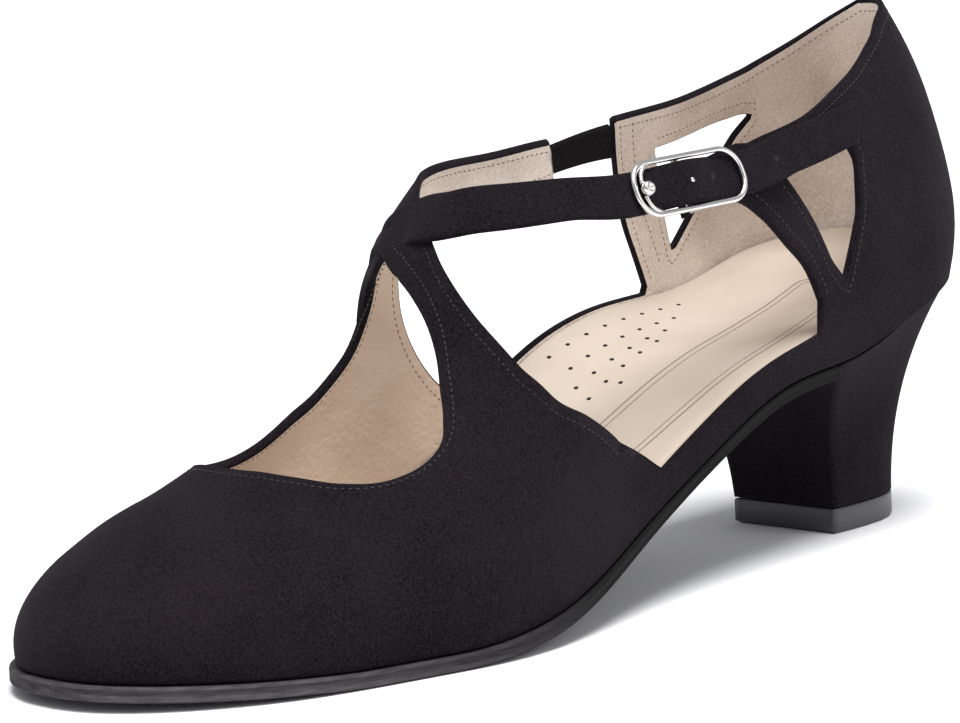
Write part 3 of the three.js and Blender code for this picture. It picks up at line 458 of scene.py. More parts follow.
tree, inputs, facing = new_tree("punched_holes", ("Radius", "Depth"))
pit = add_node(tree, "GeometryNodeMeshCylinder", {"Vertices": 14},
               Radius=inputs["Radius"], Depth=inputs["Depth"])
end_tree(tree, inputs["Material"], Points=inputs["Geometry"], Instance=pit, Rotation=facing)
rows = []
for x1, s1, x2, s2, count in PERFORATION_ROWS:
    x, s = np.linspace(x1, x2, count), np.linspace(s1, s2, count)
    slope_x = on_insole(x + SLOPE_STEP, s, 0) - on_insole(x - SLOPE_STEP, s, 0)
    slope_s = on_insole(x, s - SLOPE_STEP, 0) - on_insole(x, s + SLOPE_STEP, 0)
    rows.append((on_insole(x, s, PERFORATION_LIFT), unit(np.cross(slope_x, slope_s))))
grow("insole_perforations", tree, rows, {"Radius": PERFORATION_RADIUS, "Depth": PERFORATION_DEPTH},
     hole_shade_paint)

# Frame lines: a plain double border pressed into the insole's cover in brown,
# with nothing inside it.
FRAME_MIDDLE = ((38, 6.6), (55, 10.0), (75, 12.8), (95, 13.6), (120, 12.8))
FRAME_HALF_WIDTH = 7.2
FRAME_CORNER = 3.0
FRAME_LIFT = 0.035
FRAME_LINES = (
    # drawn in by, width
    (0, 0.3), (1.5, 0.22),
)
frame_middle = spline_through(*zip(*FRAME_MIDDLE))


def round_frame(half_long, half_wide, corner, steps):
    """A rectangle's outline with round corners, its middle at zero."""
    path = []
    for quarter, (sign_long, sign_wide) in enumerate(((1, 1), (-1, 1), (-1, -1), (1, -1))):
        angle = (quarter + np.linspace(0, 1, steps)) * math.pi / 2
        path.append(np.stack([sign_long * (half_long - corner) + corner * np.cos(angle),
                              sign_wide * (half_wide - corner) + corner * np.sin(angle)], -1))
    return np.concatenate(path)


def frame_line(shrink, wide, steps=24):
    """A closed thin ribbon round the frame, drawn in by shrink."""
    low, high = FRAME_MIDDLE[0][0] + shrink, FRAME_MIDDLE[-1][0] - shrink
    corner = max(FRAME_CORNER - shrink, 0.6)
    path = round_frame((high - low) / 2, FRAME_HALF_WIDTH - shrink, corner, 8) + ((low + high) / 2, 0)
    path = np.concatenate([path, path[:1]])
    path = np.concatenate([a + (b - a) * np.linspace(0, 1, steps, endpoint=False)[:, None]
                           for a, b in zip(path, path[1:])])
    path = path[np.linalg.norm(path - np.roll(path, 1, 0), axis=1) > 1e-6]
    way = unit(np.roll(path, -1, 0) - np.roll(path, 1, 0))
    across = np.stack([-way[:, 1], way[:, 0]], -1) * wide / 2
    sides = [on_insole(frame_middle(s) + x, s, FRAME_LIFT)
             for s, x in ((path + across).T, (path - across).T)]
    n = len(path)
    faces = [(i, (i + 1) % n, n + (i + 1) % n, n + i) for i in range(n)]
    return np.concatenate(sides), faces


brown_ink, tree, sockets, place = new_material("pressed_brown_line", {"Roughness": 0.6})
# The foil has worn unevenly, so the line breaks up a little
wear = add_node(tree, "ShaderNodeTexNoise", {"Scale": 900, "Detail": 3}, Vector=place)
add_node(tree, "ShaderNodeMix", two_tones("#4e4138", "#8f7f72"), sockets["Base Color"], Factor=wear)
for number, line in enumerate(FRAME_LINES):
    make_piece(f"insole_frame_{number + 1}", *frame_line(*line), [brown_ink], "insole_leather")

# Upper: soft suede over a leather lining, pulled over the last and closed at
# the heel back. Its openings are cut in the pattern and their edges turned in.
COLLAR_HEIGHT = 57
BAND_OVER_INSOLE = 0.6
TOPLINE_ROWS = (
    # along, outer, inner
    (0.000, 1.008, 1.008), (0.060, 1.013, 0.941), (0.110, 1.005, 0.880), (0.155, 0.993, 0.860),
    (0.190, 0.945, 0.872), (0.225, 0.916, 0.888), (0.270, 0.872, 0.894), (0.320, 0.855, 0.900),
    (0.400, 0.880, 0.960),
)
KEYHOLE = (
    (0.762, 0.00), (0.759, 0.10), (0.752, 0.21), (0.735, 0.34), (0.711, 0.41), (0.684, 0.43),
    (0.667, 0.42), (0.653, 0.37), (0.642, 0.31), (0.630, 0.25), (0.618, 0.17), (0.607, 0.07),
    (0.598, -0.02), (0.587, -0.12), (0.576, -0.25), (0.567, -0.38), (0.562, -0.49), (0.566, -0.57),
    (0.580, -0.62), (0.602, -0.62), (0.630, -0.58), (0.660, -0.54), (0.690, -0.49), (0.717, -0.42),
    (0.740, -0.31), (0.755, -0.16),
)
OUTER_REAR = (
    (0.530, 0.85), (0.560, 0.75), (0.583, 0.66), (0.598, 0.53), (0.603, 0.39), (0.601, 0.28),
    (0.592, 0.16), (0.578, 0.06),
)
LOWER_STRAP_TOP = (
    (0.564, -0.02), (0.545, -0.13), (0.522, -0.26), (0.490, -0.37), (0.450, -0.46), (0.388, -0.552),
)
LOWER_STRAP_BOTTOM = (
    (0.378, -0.655), (0.420, -0.61), (0.460, -0.555), (0.500, -0.485), (0.528, -0.445),
)
WING_REAR = (
    (0.532, -0.50), (0.530, -0.58), (0.524, -0.67), (0.512, -0.76), (0.497, -0.83), (0.480, -0.885),
)
OUTER_QUARTER_FRONT = (
    (0.283, 0.93), (0.296, 0.88), (0.316, 0.83), (0.338, 0.765), (0.362, 0.705), (0.390, 0.670),
    (0.417, 0.652),
)
OUTER_ARM_TOP = ((0.417, 0.574), (0.390, 0.586), (0.350, 0.614))
INNER_QUARTER_FRONT = ((0.270, -0.934), (0.281, -0.89), (0.295, -0.83), (0.310, -0.72), (0.320, -0.62))
OUTER_WINDOW = (
    (0.305, 0.736), (0.268, 0.743), (0.226, 0.758), (0.219, 0.793), (0.226, 0.853), (0.252, 0.919),
    (0.266, 0.888), (0.282, 0.822),
)
INNER_WINDOW = (
    (0.265, -0.733), (0.235, -0.751), (0.205, -0.770), (0.175, -0.790), (0.146, -0.805),
    (0.190, -0.860), (0.236, -0.908), (0.252, -0.825),
)
topline = table_splines(("along", "outer", "inner"), TOPLINE_ROWS)


def smooth_run(outline, steps, closed=False):
    """Centripetal Catmull-Rom curve through the table's points."""
    p = np.array(outline, float)
    if closed:
        p = np.concatenate([p[-1:], p, p[:2]])
    else:
        p = np.concatenate([2 * p[:1] - p[1:2], p, 2 * p[-1:] - p[-2:-1]])
    gaps = np.maximum(np.linalg.norm(np.diff(p, axis=0), axis=1)**0.5, 1e-6)
    out = []
    for i in range(1, len(p) - 2):
        t1 = gaps[i - 1]
        t2 = t1 + gaps[i]
        t3 = t2 + gaps[i + 1]
        t = np.linspace(t1, t2, steps, endpoint=False)[:, None]
        a1 = (t1 - t) / t1 * p[i - 1] + t / t1 * p[i]
        a2 = (t2 - t) / (t2 - t1) * p[i] + (t - t1) / (t2 - t1) * p[i + 1]
        a3 = (t3 - t) / (t3 - t2) * p[i + 1] + (t - t2) / (t3 - t2) * p[i + 2]
        b1 = (t2 - t) / t2 * a1 + t / t2 * a2
        b2 = (t3 - t) / (t3 - t1) * a2 + (t - t1) / (t3 - t1) * a3
        out.append((t2 - t) / (t2 - t1) * b1 + (t - t1) / (t2 - t1) * b2)
    return np.concatenate(out) if closed else np.concatenate(out + [p[-2:-1]])


def band_run(start, end, side, steps=80):
    turn = np.linspace(start, end, steps)
    share = rib(turn, side)[0]
    rise = insole_edge["outer" if side > 0 else "inner"](share) * ARCH_RISE + BAND_OVER_INSOLE
    return np.stack([turn, side * (1 - climb_at(turn, rise))], -1)


def topline_run(start, end, side, steps=120):
    turn = np.linspace(start, end, steps)
    rise = topline["outer" if side > 0 else "inner"](turn) * COLLAR_HEIGHT
    return np.stack([turn, side * (1 - climb_at(turn, rise))], -1)


# The pattern's flat scale: turn by the length, over by half the girth
PATTERN_SCALE = np.array([LAST_LENGTH, 95.0])
CUT_STEP = 1.1
SHEET_STEP = 1.5
EDGE_ROUND = 0.45
TURNED_IN = 1.25
LINING_FORM = 0.6


def even_steps(outline, step=CUT_STEP, closed=False):
    """The outline again with points an even step apart."""
    p = np.asarray(outline, float)
    if closed:
        p = np.concatenate([p, p[:1]])
    run = np.concatenate([[0], np.cumsum(np.linalg.norm(np.diff(p * PATTERN_SCALE, axis=0), axis=1))])
    keep = np.concatenate([[True], np.diff(run) > 1e-9])
    wanted = np.linspace(0, run[-1], max(int(run[-1] / step), 3) + 1)
    even = np.stack([np.interp(wanted, run[keep], p[keep, k]) for k in (0, 1)], -1)
    return even[:-1] if closed else even


CORNER_STEP = 0.012
BAND_STEP = 0.002
WAIST_DROP = 0.052
open_runs = {
    "outer_topline": topline_run(0, OUTER_ARM_TOP[-1][0] - CORNER_STEP, 1),
    "outer_arm": smooth_run(OUTER_ARM_TOP, 12)[::-1],
    "outer_front": smooth_run(OUTER_QUARTER_FRONT, 12)[::-1],
    "outer_band": band_run(OUTER_QUARTER_FRONT[0][0] + BAND_STEP, OUTER_REAR[0][0] - WAIST_DROP, 1),
    "outer_rear": smooth_run(OUTER_REAR, 14),
    "strap_top": smooth_run(LOWER_STRAP_TOP, 12),
    "strap_bottom": smooth_run(LOWER_STRAP_BOTTOM, 12),
    "wing_rear": smooth_run(WING_REAR, 12),
    "inner_band": band_run(WING_REAR[-1][0] - CORNER_STEP, INNER_QUARTER_FRONT[0][0] + BAND_STEP, -1),
    "inner_front": smooth_run(INNER_QUARTER_FRONT, 12),
    "inner_topline": topline_run(INNER_QUARTER_FRONT[-1][0] - 2 * BAND_STEP, 0, -1),
}
start_over = open_runs["outer_topline"][0, 1]
seam = np.stack([np.zeros(70), np.linspace(start_over, 1, 70)], -1)
toe_seam = np.stack([np.ones(91), np.linspace(1, -1, 91)], -1)
foot_edge = np.stack([np.linspace(0, 1, 260), np.ones(260)], -1)
opening = np.concatenate([even_steps(run) for run in open_runs.values()])
border = np.concatenate([
    seam[:-1], foot_edge[:-1], toe_seam[:-1],
    foot_edge[:0:-1] * (1, -1), seam[:0:-1] * (1, -1), opening[::-1][:-1],
])
holes = [
    even_steps(smooth_run(KEYHOLE, 10, True), closed=True),
    even_steps(OUTER_WINDOW, closed=True),
    even_steps(INNER_WINDOW, closed=True),
]


def without_near_points(loop):
    """Drops points closer than a third of a step to the one before."""
    flat = loop * PATTERN_SCALE
    kept = [0]
    for i in range(1, len(loop)):
        if np.linalg.norm(flat[i] - flat[kept[-1]]) > 0.35 * CUT_STEP:
            kept.append(i)
    return loop[kept]


def inside(points, loops):
    """Whether each point lies in the area between the loops."""
    odd = np.zeros(len(points), bool)
    for loop in loops:
        a, b = loop, np.roll(loop, -1, axis=0)
        for (x1, y1), (x2, y2) in zip(a, b):
            if y1 == y2:
                continue
            crosses = (points[:, 1] > min(y1, y2)) & (points[:, 1] <= max(y1, y2))
            odd ^= crosses & (points[:, 0] < x1 + (points[:, 1] - y1) * (x2 - x1) / (y2 - y1))
    return odd


def distance_to(points, line):
    """Distance from each point to the nearest point of the line."""
    parts = np.array_split(points, max(len(points) // 400, 1))
    nearest = [np.min(np.linalg.norm(part[:, None] - line[None], axis=-1), axis=1) for part in parts]
    return np.concatenate(nearest)


def beside(line, distance, area):
    """The flat line moved into the area by a distance, without its kinks."""
    way = unit(np.gradient(line, axis=0))
    across = np.stack([-way[:, 1], way[:, 0]], -1)
    left = np.mean(inside(line + 0.4 * across, area))
    moved = line + across * distance * (1 if left > 0.5 else -1)
    return moved[(distance_to(moved, line) > 0.96 * distance) & inside(moved, area)]


def cut_sheet(loops, turned):
    """Even triangles over the area between the loops, on the flat pattern."""
    loops = [without_near_points(loop) for loop in loops]
    flat_loops = [loop * PATTERN_SCALE for loop in loops]
    strip = beside(turned, TURNED_IN, flat_loops)
    rim = np.concatenate(flat_loops)
    u = np.arange(0, PATTERN_SCALE[0], SHEET_STEP)
    v = np.arange(-PATTERN_SCALE[1], PATTERN_SCALE[1], SHEET_STEP * 0.866)
    grid = np.stack(np.meshgrid(u, v, indexing="ij"), -1)
    grid[:, 1::2, 0] += SHEET_STEP / 2
    grid = grid.reshape(-1, 2)
    grid = grid[inside(grid, flat_loops)]
    grid = grid[distance_to(grid, rim) > 0.75 * SHEET_STEP]
    grid = grid[distance_to(grid, strip) > 0.6 * SHEET_STEP]
    grid = np.concatenate([grid[distance_to(grid, turned) > TURNED_IN], strip])
    edges, first = [], 0
    for loop in flat_loops:
        count = len(loop)
        edges += [(first + i, first + (i + 1) % count) for i in range(count)]
        first += count
    points = [Vector(p) for p in np.concatenate([rim, grid])]
    found = geometry.delaunay_2d_cdt(points, edges, [], 0, 1e-6)
    places = np.array([tuple(p) for p in found[0]])
    triangles = np.array([f for f in found[2] if len(f) == 3])
    middle = places[triangles].mean(axis=1)
    return places / PATTERN_SCALE, triangles[inside(middle, flat_loops)]


# Soft troughs and ridges where the suede gives, each at a place on the last.
# The last two are the seam that closes the heel's back.
FORM_ROWS = (
    # turn, over, way in degrees, half length, half width, height
    (0.600, 0.62, 62, 11, 3.0, -0.45),
    (0.612, 0.56, 60, 9, 2.6, 0.30),
    (0.640, 0.80, 20, 16, 5.0, -0.30),
    (0.700, 0.72, 12, 20, 6.0, 0.30),
    (0.770, 0.55, 80, 14, 7.0, -0.30),
    (0.860, -0.40, 70, 12, 6.0, 0.22),
    (0.130, 0.78, 75, 16, 6.0, -0.35),
    (0.070, 0.84, 5, 14, 6.0, 0.30),
    (0.180, 0.90, 10, 14, 4.0, -0.25),
    (0.640, -0.72, 15, 18, 6.0, -0.25),
    (0.720, -0.62, 60, 12, 5.0, 0.22),
    (0.000, 0.62, 90, 45, 0.9, -0.35),
    (0.000, -0.62, 90, 45, 0.9, -0.35),
)


def soft_forms(pattern):
    height = np.zeros(len(pattern))
    for turn, over, way, half_length, half_width, rise in FORM_ROWS:
        d = (pattern - (turn, over)) * PATTERN_SCALE
        c, s = math.cos(math.radians(way)), math.sin(math.radians(way))
        along, across = d[:, 0] * c + d[:, 1] * s, d[:, 1] * c - d[:, 0] * s
        height += rise * np.exp(-(along / half_length)**2 - (across / half_width)**2)
    return height


trimmed = np.concatenate([opening] + holes) * PATTERN_SCALE
keyhole = holes[0] * PATTERN_SCALE
pattern, triangles = cut_sheet([border] + holes, keyhole)
outside = last_point(*pattern.T)
lining = last_point(*pattern.T, UPPER_WALL)
forms = soft_forms(pattern)[:, None] * last_normal(*pattern.T)
outside, lining = outside + forms, lining + forms * LINING_FORM
# Both edges of the pattern that meet at the heel back and the toe tip are one
# line on the last, so their points are joined.
_, first, joined = np.unique(np.round(outside, 2), axis=0, return_index=True, return_inverse=True)
outside, lining, pattern = outside[first], lining[first], pattern[first]
triangles = joined.reshape(-1)[triangles]
triangles = triangles[np.all(triangles != np.roll(triangles, 1, axis=1), axis=1)]
corners = outside[triangles]
facing = np.cross(corners[:, 1] - corners[:, 0], corners[:, 2] - corners[:, 0])
thick = outside[triangles].mean(1) - lining[triangles].mean(1)
if np.sum(facing * thick) < 0:
    triangles = triangles[:, ::-1]

half_edges = np.concatenate([triangles[:, [0, 1]], triangles[:, [1, 2]], triangles[:, [2, 0]]])
there = set(map(tuple, half_edges.tolist()))
rim_edges = np.array([e for e in there if (e[1], e[0]) not in there])
rim_edges = rim_edges[np.lexsort((rim_edges[:, 1], rim_edges[:, 0]))]

# The rim leaves the sheet square to its edge and turns in with a small round
thickness = unit(outside - lining)
edge_way = outside[rim_edges[:, 1]] - outside[rim_edges[:, 0]]
away = np.zeros_like(outside)
edge_out = unit(np.cross(edge_way, thickness[rim_edges].mean(1)))
np.add.at(away, rim_edges[:, 0], edge_out)
np.add.at(away, rim_edges[:, 1], edge_out)
on_rim = np.unique(rim_edges)
away[on_rim] = unit(away[on_rim])
outside[on_rim] -= EDGE_ROUND * away[on_rim]
lining[on_rim] -= EDGE_ROUND * away[on_rim]
RIM_STEPS = 6
count = len(outside)
rim_number = np.full(count, -1)
rim_number[on_rim] = np.arange(len(on_rim))
middle, half = (outside[on_rim] + lining[on_rim]) / 2, (outside[on_rim] - lining[on_rim]) / 2
rows = []
for k in range(1, RIM_STEPS):
    angle = math.pi * k / RIM_STEPS
    rows.append(middle + half * math.cos(angle) + away[on_rim] * EDGE_ROUND * math.sin(angle))
points = np.concatenate([outside, lining] + rows)


def rim_row(k, vertices):
    if k == 0:
        return vertices
    if k == RIM_STEPS:
        return vertices + count
    return 2 * count + (k - 1) * len(on_rim) + rim_number[vertices]


faces, looks = triangles.tolist(), [0] * len(triangles)
# The vamp's tan lining ends at a seam across the wings
VAMP_SEAM, WING_SEAM = 0.53, 0.44
WING_SEAM_OVER, WING_SEAM_SLOPE = -0.5, 1.2
turn, over = pattern[triangles].mean(1).T
vamp_lining = (turn > VAMP_SEAM) | (
    (turn > WING_SEAM) & (over < WING_SEAM_OVER - WING_SEAM_SLOPE * (VAMP_SEAM - turn)))
turned_in = distance_to(pattern[triangles].mean(1) * PATTERN_SCALE, keyhole) < 0.95 * TURNED_IN
faces += (triangles[:, ::-1] + count).tolist()
looks += np.where(turned_in, 0, np.where(vamp_lining, 1, 2)).tolist()
a, b = rim_edges[:, 0], rim_edges[:, 1]
for k in range(RIM_STEPS):
    quads = np.stack([rim_row(k, b), rim_row(k, a), rim_row(k + 1, a), rim_row(k + 1, b)], -1)
    faces += quads.tolist()
    looks += [0] * len(quads)


# Buffed suede: matt, with a short nap that lies lighter in places
NAP_SIZE = 0.45
black_suede, tree, sockets, place = new_material("buffed_black_suede", {
    "Roughness": 0.95, "Specular IOR Level": 0.06, "Sheen Weight": 0.13, "Sheen Roughness": 0.55,
    "Sheen Tint": linear("#77707a")})
brushed = add_node(tree, "ShaderNodeTexNoise", {"Scale": 26, "Detail": 4, "Roughness": 0.6}, Vector=place)
nap = add_node(tree, "ShaderNodeTexNoise", {"Scale": 1000 / NAP_SIZE, "Detail": 2}, Vector=place)
clumps = add_node(tree, "ShaderNodeTexNoise", {"Scale": 420, "Detail": 3}, Vector=place)
both = add_node(tree, "ShaderNodeMath", {"operation": "MULTIPLY_ADD", 0: nap, 1: 1.5, 2: brushed})
spread = add_node(tree, "ShaderNodeMapRange", {"From Min": 0.95, "From Max": 1.55}, Value=both)
add_node(tree, "ShaderNodeMix", two_tones("#080608", "#201b20"), sockets["Base Color"], Factor=spread)
height = add_node(tree, "ShaderNodeMath", {"operation": "ADD", 0: nap, 1: clumps})
add_node(tree, "ShaderNodeBump", {"Strength": 0.5, "Distance": 0.0003}, sockets["Normal"], Height=height)


def lining_material(name, dark, light, glint, crease):
    """Thin lining leather: a fine creased grain, with a faint metallic glint, partly from the metallic shader
    and partly painted into the colour as light specks.
    """
    material, tree, sockets, place = new_material(name, {"Roughness": 0.5, "Metallic": 0.25 * glint})
    tone = add_node(tree, "ShaderNodeTexNoise", {"Scale": 45, "Detail": 3, "Roughness": 0.5}, Vector=place)
    # Painted glint: light specks mixed into the colour, stronger as glint rises
    painted_glint_speck = add_node(tree, "ShaderNodeTexNoise", {"Scale": 2400, "Detail": 2}, Vector=place)
    both = add_node(tree, "ShaderNodeMath", {"operation": "MULTIPLY_ADD", 0: painted_glint_speck, 1: glint, 2: tone})
    limits = {"From Min": 0.25 + glint / 2, "From Max": 0.75 + glint / 2}
    spread = add_node(tree, "ShaderNodeMapRange", limits, Value=both)
    add_node(tree, "ShaderNodeMix", two_tones(dark, light), sockets["Base Color"], Factor=spread)
    grain = add_node(tree, "ShaderNodeTexVoronoi", {"feature": "DISTANCE_TO_EDGE", "Scale": 520},
                     Vector=place)
    folds = add_node(tree, "ShaderNodeTexNoise", {"Scale": 130, "Detail": 5, "Distortion": 1.2}, Vector=place)
    height = add_node(tree, "ShaderNodeMath", {"operation": "MULTIPLY_ADD", 0: folds, 1: crease, 2: grain})
    add_node(tree, "ShaderNodeBump", {"Strength": 0.45, "Distance": 0.0004}, sockets["Normal"], Height=height)
    return material


tan_lining = lining_material("tan_kid_lining", "#bfa691", "#d6c1ae", 0.15, 2.0)
champagne_lining = lining_material("champagne_metallic_lining", "#c3b4a8", "#efe4da", 0.9, 0.8)
make_piece("upper", points, faces, [black_suede, tan_lining, champagne_lining], "suede", "upper", looks)

# Stitches: rows of waxed thread beside the trimmed edges, half sunk in the suede
# or the lining, with a second row along the lining's front edge on the inner side.
STITCH = {"Pitch": 1.35, "Length": 0.95, "Width": 0.27}
STITCH_LIFT = 0.03
EDGE_ROW = 1.7
LINING_ROW = 1.6
SECOND_ROW = 4.6
# The corners in turn and over of what the instep strap covers
UNDER_STRAP = ((0.53, -0.62), (0.61, -0.06))
area = [loop * PATTERN_SCALE for loop in [border] + holes]
outlines = {name: even_steps(run, 0.6) for name, run in open_runs.items()}
outlines["keyhole"] = even_steps(np.concatenate([smooth_run(KEYHOLE, 10, True), [KEYHOLE[0]]]), 0.6)
outlines["outer_window"] = even_steps(OUTER_WINDOW + OUTER_WINDOW[:1], 0.6)
outlines["inner_window"] = even_steps(INNER_WINDOW + INNER_WINDOW[:1], 0.6)


def stitch_row(name, distance, on_lining):
    """One row of stitches beside a trimmed edge, on the suede or the lining."""
    at = beside(outlines[name] * PATTERN_SCALE, distance, area)
    at = at[distance_to(at, trimmed) > 0.9 * min(distance, LINING_ROW)] / PATTERN_SCALE
    if not on_lining:
        at = at[~np.all((at > UNDER_STRAP[0]) & (at < UNDER_STRAP[1]), axis=1)]
    out = last_normal(*at.T)
    depth = soft_forms(at)[:, None] * out
    if on_lining:
        return last_point(*at.T, UPPER_WALL) + LINING_FORM * depth - STITCH_LIFT * out, -out
    return last_point(*at.T) + depth + STITCH_LIFT * out, out


tree, inputs, facing = new_tree("stitches_along_lines", STITCH)
line = add_node(tree, "GeometryNodeMeshToCurve", Mesh=inputs["Geometry"])
spots = add_node(tree, "GeometryNodeCurveToPoints", {"mode": "LENGTH"}, Curve=line, Length=inputs["Pitch"])
bead = add_node(tree, "GeometryNodeMeshUVSphere", {"Segments": 8, "Rings": 5, "Radius": 0.5})
turned_along = add_node(tree, "FunctionNodeAlignRotationToVector", {"axis": "X", "pivot_axis": "Z"},
                        Rotation=facing, Vector=spots.outputs["Tangent"])
shape = add_node(tree, "ShaderNodeCombineXYZ", X=inputs["Length"], Y=inputs["Width"], Z=inputs["Width"])
end_tree(tree, inputs["Material"], Points=spots, Instance=bead, Rotation=turned_along, Scale=shape)


def thread_material(name, dark, light):
    """Waxed polyester thread: the twist of its two strands is painted into the colour as fine slanted bands,
    painted shade in the grooves between them and painted highlight on their crowns.
    """
    material, tree, sockets, place = new_material(name, {"Roughness": 0.5})
    bands = {"Scale": 700, "Distortion": 2, "bands_direction": "DIAGONAL"}
    twist_shade_bands = add_node(tree, "ShaderNodeTexWave", bands, Vector=place)
    add_node(tree, "ShaderNodeMix", two_tones(dark, light), sockets["Base Color"],
             Factor=twist_shade_bands.outputs["Fac"])
    return material


STITCHED_OUTSIDE = ("keyhole", "outer_rear", "outer_topline", "inner_topline", "outer_front", "outer_arm",
                    "outer_window", "wing_rear", "inner_front", "inner_window")
STITCHED_LINING = (
    ("keyhole", TURNED_IN + 0.7), ("wing_rear", LINING_ROW), ("strap_top", LINING_ROW),
    ("strap_bottom", LINING_ROW), ("inner_topline", LINING_ROW), ("inner_front", LINING_ROW),
    ("inner_front", SECOND_ROW), ("inner_window", LINING_ROW), ("outer_topline", LINING_ROW),
)
grow("suede_stitches", tree, [stitch_row(edge, EDGE_ROW, False) for edge in STITCHED_OUTSIDE], STITCH,
     thread_material("waxed_black_thread", "#121012", "#232023"))
grow("lining_stitches", tree, [stitch_row(edge, row, True) for edge, row in STITCHED_LINING], STITCH,
     thread_material("waxed_brown_thread", "#5b4a3d", "#8b7664"))

# Elastic: a narrow woven band with fine ribs, sewn between the lower strap's
# end and the inner quarter, where it takes up the step of the foot.
ELASTIC_THICKNESS = 1.1
SLOT = 1.4 * GAP / LAST_LENGTH
ELASTIC_CORNERS = (
    (0.3868 - SLOT, -0.570), (0.3788 - SLOT, -0.643), (0.3125 + SLOT, -0.700), (0.3200 + SLOT, -0.625),
)
RIB_COUNT = 9


def elastic_sheet(along_steps, across_steps):
    """Two skins between the corners, waved across by the woven ribs."""
    a, b, c, d = (np.array(corner) for corner in ELASTIC_CORNERS)
    u = np.linspace(0, 1, along_steps)[:, None, None]
    v = np.linspace(0, 1, across_steps)[None, :, None]
    at = (a * (1 - v) + b * v) * (1 - u) + (d * (1 - v) + c * v) * u
    wave = 0.5 - 0.5 * np.cos(2 * math.pi * RIB_COUNT * v[..., 0]) * np.ones_like(u[..., 0])
    edge = np.clip(np.minimum(v, 1 - v)[..., 0] / 0.05, 0, 1)**0.5 * np.ones_like(u[..., 0])
    outer_inset, inner_inset = (UPPER_WALL - ELASTIC_THICKNESS) / 2, (UPPER_WALL + ELASTIC_THICKNESS) / 2
    skins = [last_point(at[..., 0], at[..., 1], inset) for inset in (outer_inset, inner_inset)]
    middle, half = (skins[0] + skins[1]) / 2, (skins[0] - skins[1]) / 2
    shape = ((0.45 + 0.55 * edge) * (0.86 + 0.14 * wave))[..., None]
    return closed_skins(middle + half * shape, middle - half * shape)


woven_elastic, tree, sockets, place = new_material("woven_black_elastic", {
    "Roughness": 0.9, "Specular IOR Level": 0.15})
# Yarn crossings 0.6 mm apart: raised dots by the bump, and painted highlights, lighter dots in the colour
# where they would catch the light
yarn_relief_and_highlight = add_node(tree, "ShaderNodeTexVoronoi", {"Scale": 1600}, Vector=place)
add_node(tree, "ShaderNodeMix", two_tones("#191418", "#080708"), sockets["Base Color"], Factor=yarn_relief_and_highlight)
add_node(tree, "ShaderNodeBump", {"Strength": 0.6, "Distance": 0.0002, "invert": True}, sockets["Normal"],
         Height=yarn_relief_and_highlight)
make_piece("elastic", *elastic_sheet(60, 91), [woven_elastic], "elastic_web", "elastic")

# Instep strap: two layers of suede round a tape, with turned edges. It starts
# on the inner wing, crosses the instep and runs under the buckle's ends.
STRAP_WIDTH = 9.2
STRAP_THICKNESS = 1.5
BUCKLE_LENGTH = 29.4
BUCKLE_WIRE = 1.2
TAB_THICKNESS = 0.7
PIN_DIAMETER = 1.4
BUCKLE_AT = 0.643
STRAP_COLUMNS = ("run", "across", "along", "up", "face", "wide")
STRAP_ROWS = (
    (-0.10, -0.350, 0.591, 0.580, 20, 0.20), (-0.05, -0.318, 0.592, 0.655, 26, 0.36),
    (0.00, -0.256, 0.598, 0.713, 32, 0.62), (0.05, -0.198, 0.603, 0.757, 38, 0.88),
    (0.11, -0.135, 0.600, 0.789, 42, 1.16), (0.16, -0.068, 0.600, 0.809, 43, 1.24),
    (0.21, 0.010, 0.600, 0.818, 43, 1.22), (0.26, 0.085, 0.592, 0.829, 43, 1.18),
    (0.32, 0.160, 0.577, 0.835, 43, 1.14), (0.42, 0.256, 0.539, 0.842, 38, 1.00),
    (0.54, 0.316, 0.478, 0.843, 28, 0.935), (0.66, 0.342, 0.412, 0.846, 22, 0.935),
    (0.77, 0.350, 0.347, 0.861, 18, 0.935), (0.86, 0.351, 0.297, 0.879, 15, 0.935),
    (0.93, 0.346, 0.251, 0.898, 14, 0.92), (1.00, 0.335, 0.201, 0.923, 14, 0.88),
)
strap_table = table_splines(STRAP_COLUMNS, STRAP_ROWS)
WIRE_RADIUS = BUCKLE_WIRE / 2
LOOP_RADIUS = WIRE_RADIUS + GAP + TAB_THICKNESS
STRAP_DIP = 0.3
RING_LEVEL = -STRAP_DIP + STRAP_THICKNESS / 2 + GAP + WIRE_RADIUS
BAR_LEVEL = -1.1
STRAP_HUMP = BAR_LEVEL + LOOP_RADIUS + GAP + STRAP_THICKNESS / 2
STRAP_START = STRAP_ROWS[0][0]
TIP_LENGTH = 0.025
TIP_WIDTH = 0.72
TIP_SLANT = 1.9
FINE_FROM, SLANT_FROM = 0.96, 0.94
WIDTH_POWER, HEIGHT_POWER = 0.28, 0.55


def strap_middle(run):
    return np.stack([
        strap_table["across"](run) * BALL_WIDTH,
        -strap_table["along"](run) * LAST_LENGTH,
        strap_table["up"](run) * INSTEP_HEIGHT,
    ], -1)


def strap_frame(run):
    after, before = np.clip(run + 0.01, STRAP_START, 1), np.clip(run - 0.01, STRAP_START, 1)
    along = unit(strap_middle(after) - strap_middle(before))
    face = np.radians(strap_table["face"](run))[..., None]
    level = unit(np.stack([along[..., 1], -along[..., 0], 0 * along[..., 0]], -1))
    out = level * np.cos(face) + np.array([0, 0, 1.0]) * np.sin(face)
    out = unit(out - np.sum(out * along, -1, keepdims=True) * along)
    return along, unit(np.cross(out, along)), out


STRAP_LENGTH = np.sum(np.linalg.norm(np.diff(strap_middle(np.linspace(0, 1, 201)), axis=0), axis=1))
buckle_along, buckle_up, buckle_out = (v[0] for v in strap_frame(np.array([BUCKLE_AT])))
buckle_middle = strap_middle(np.array([BUCKLE_AT]))[0]


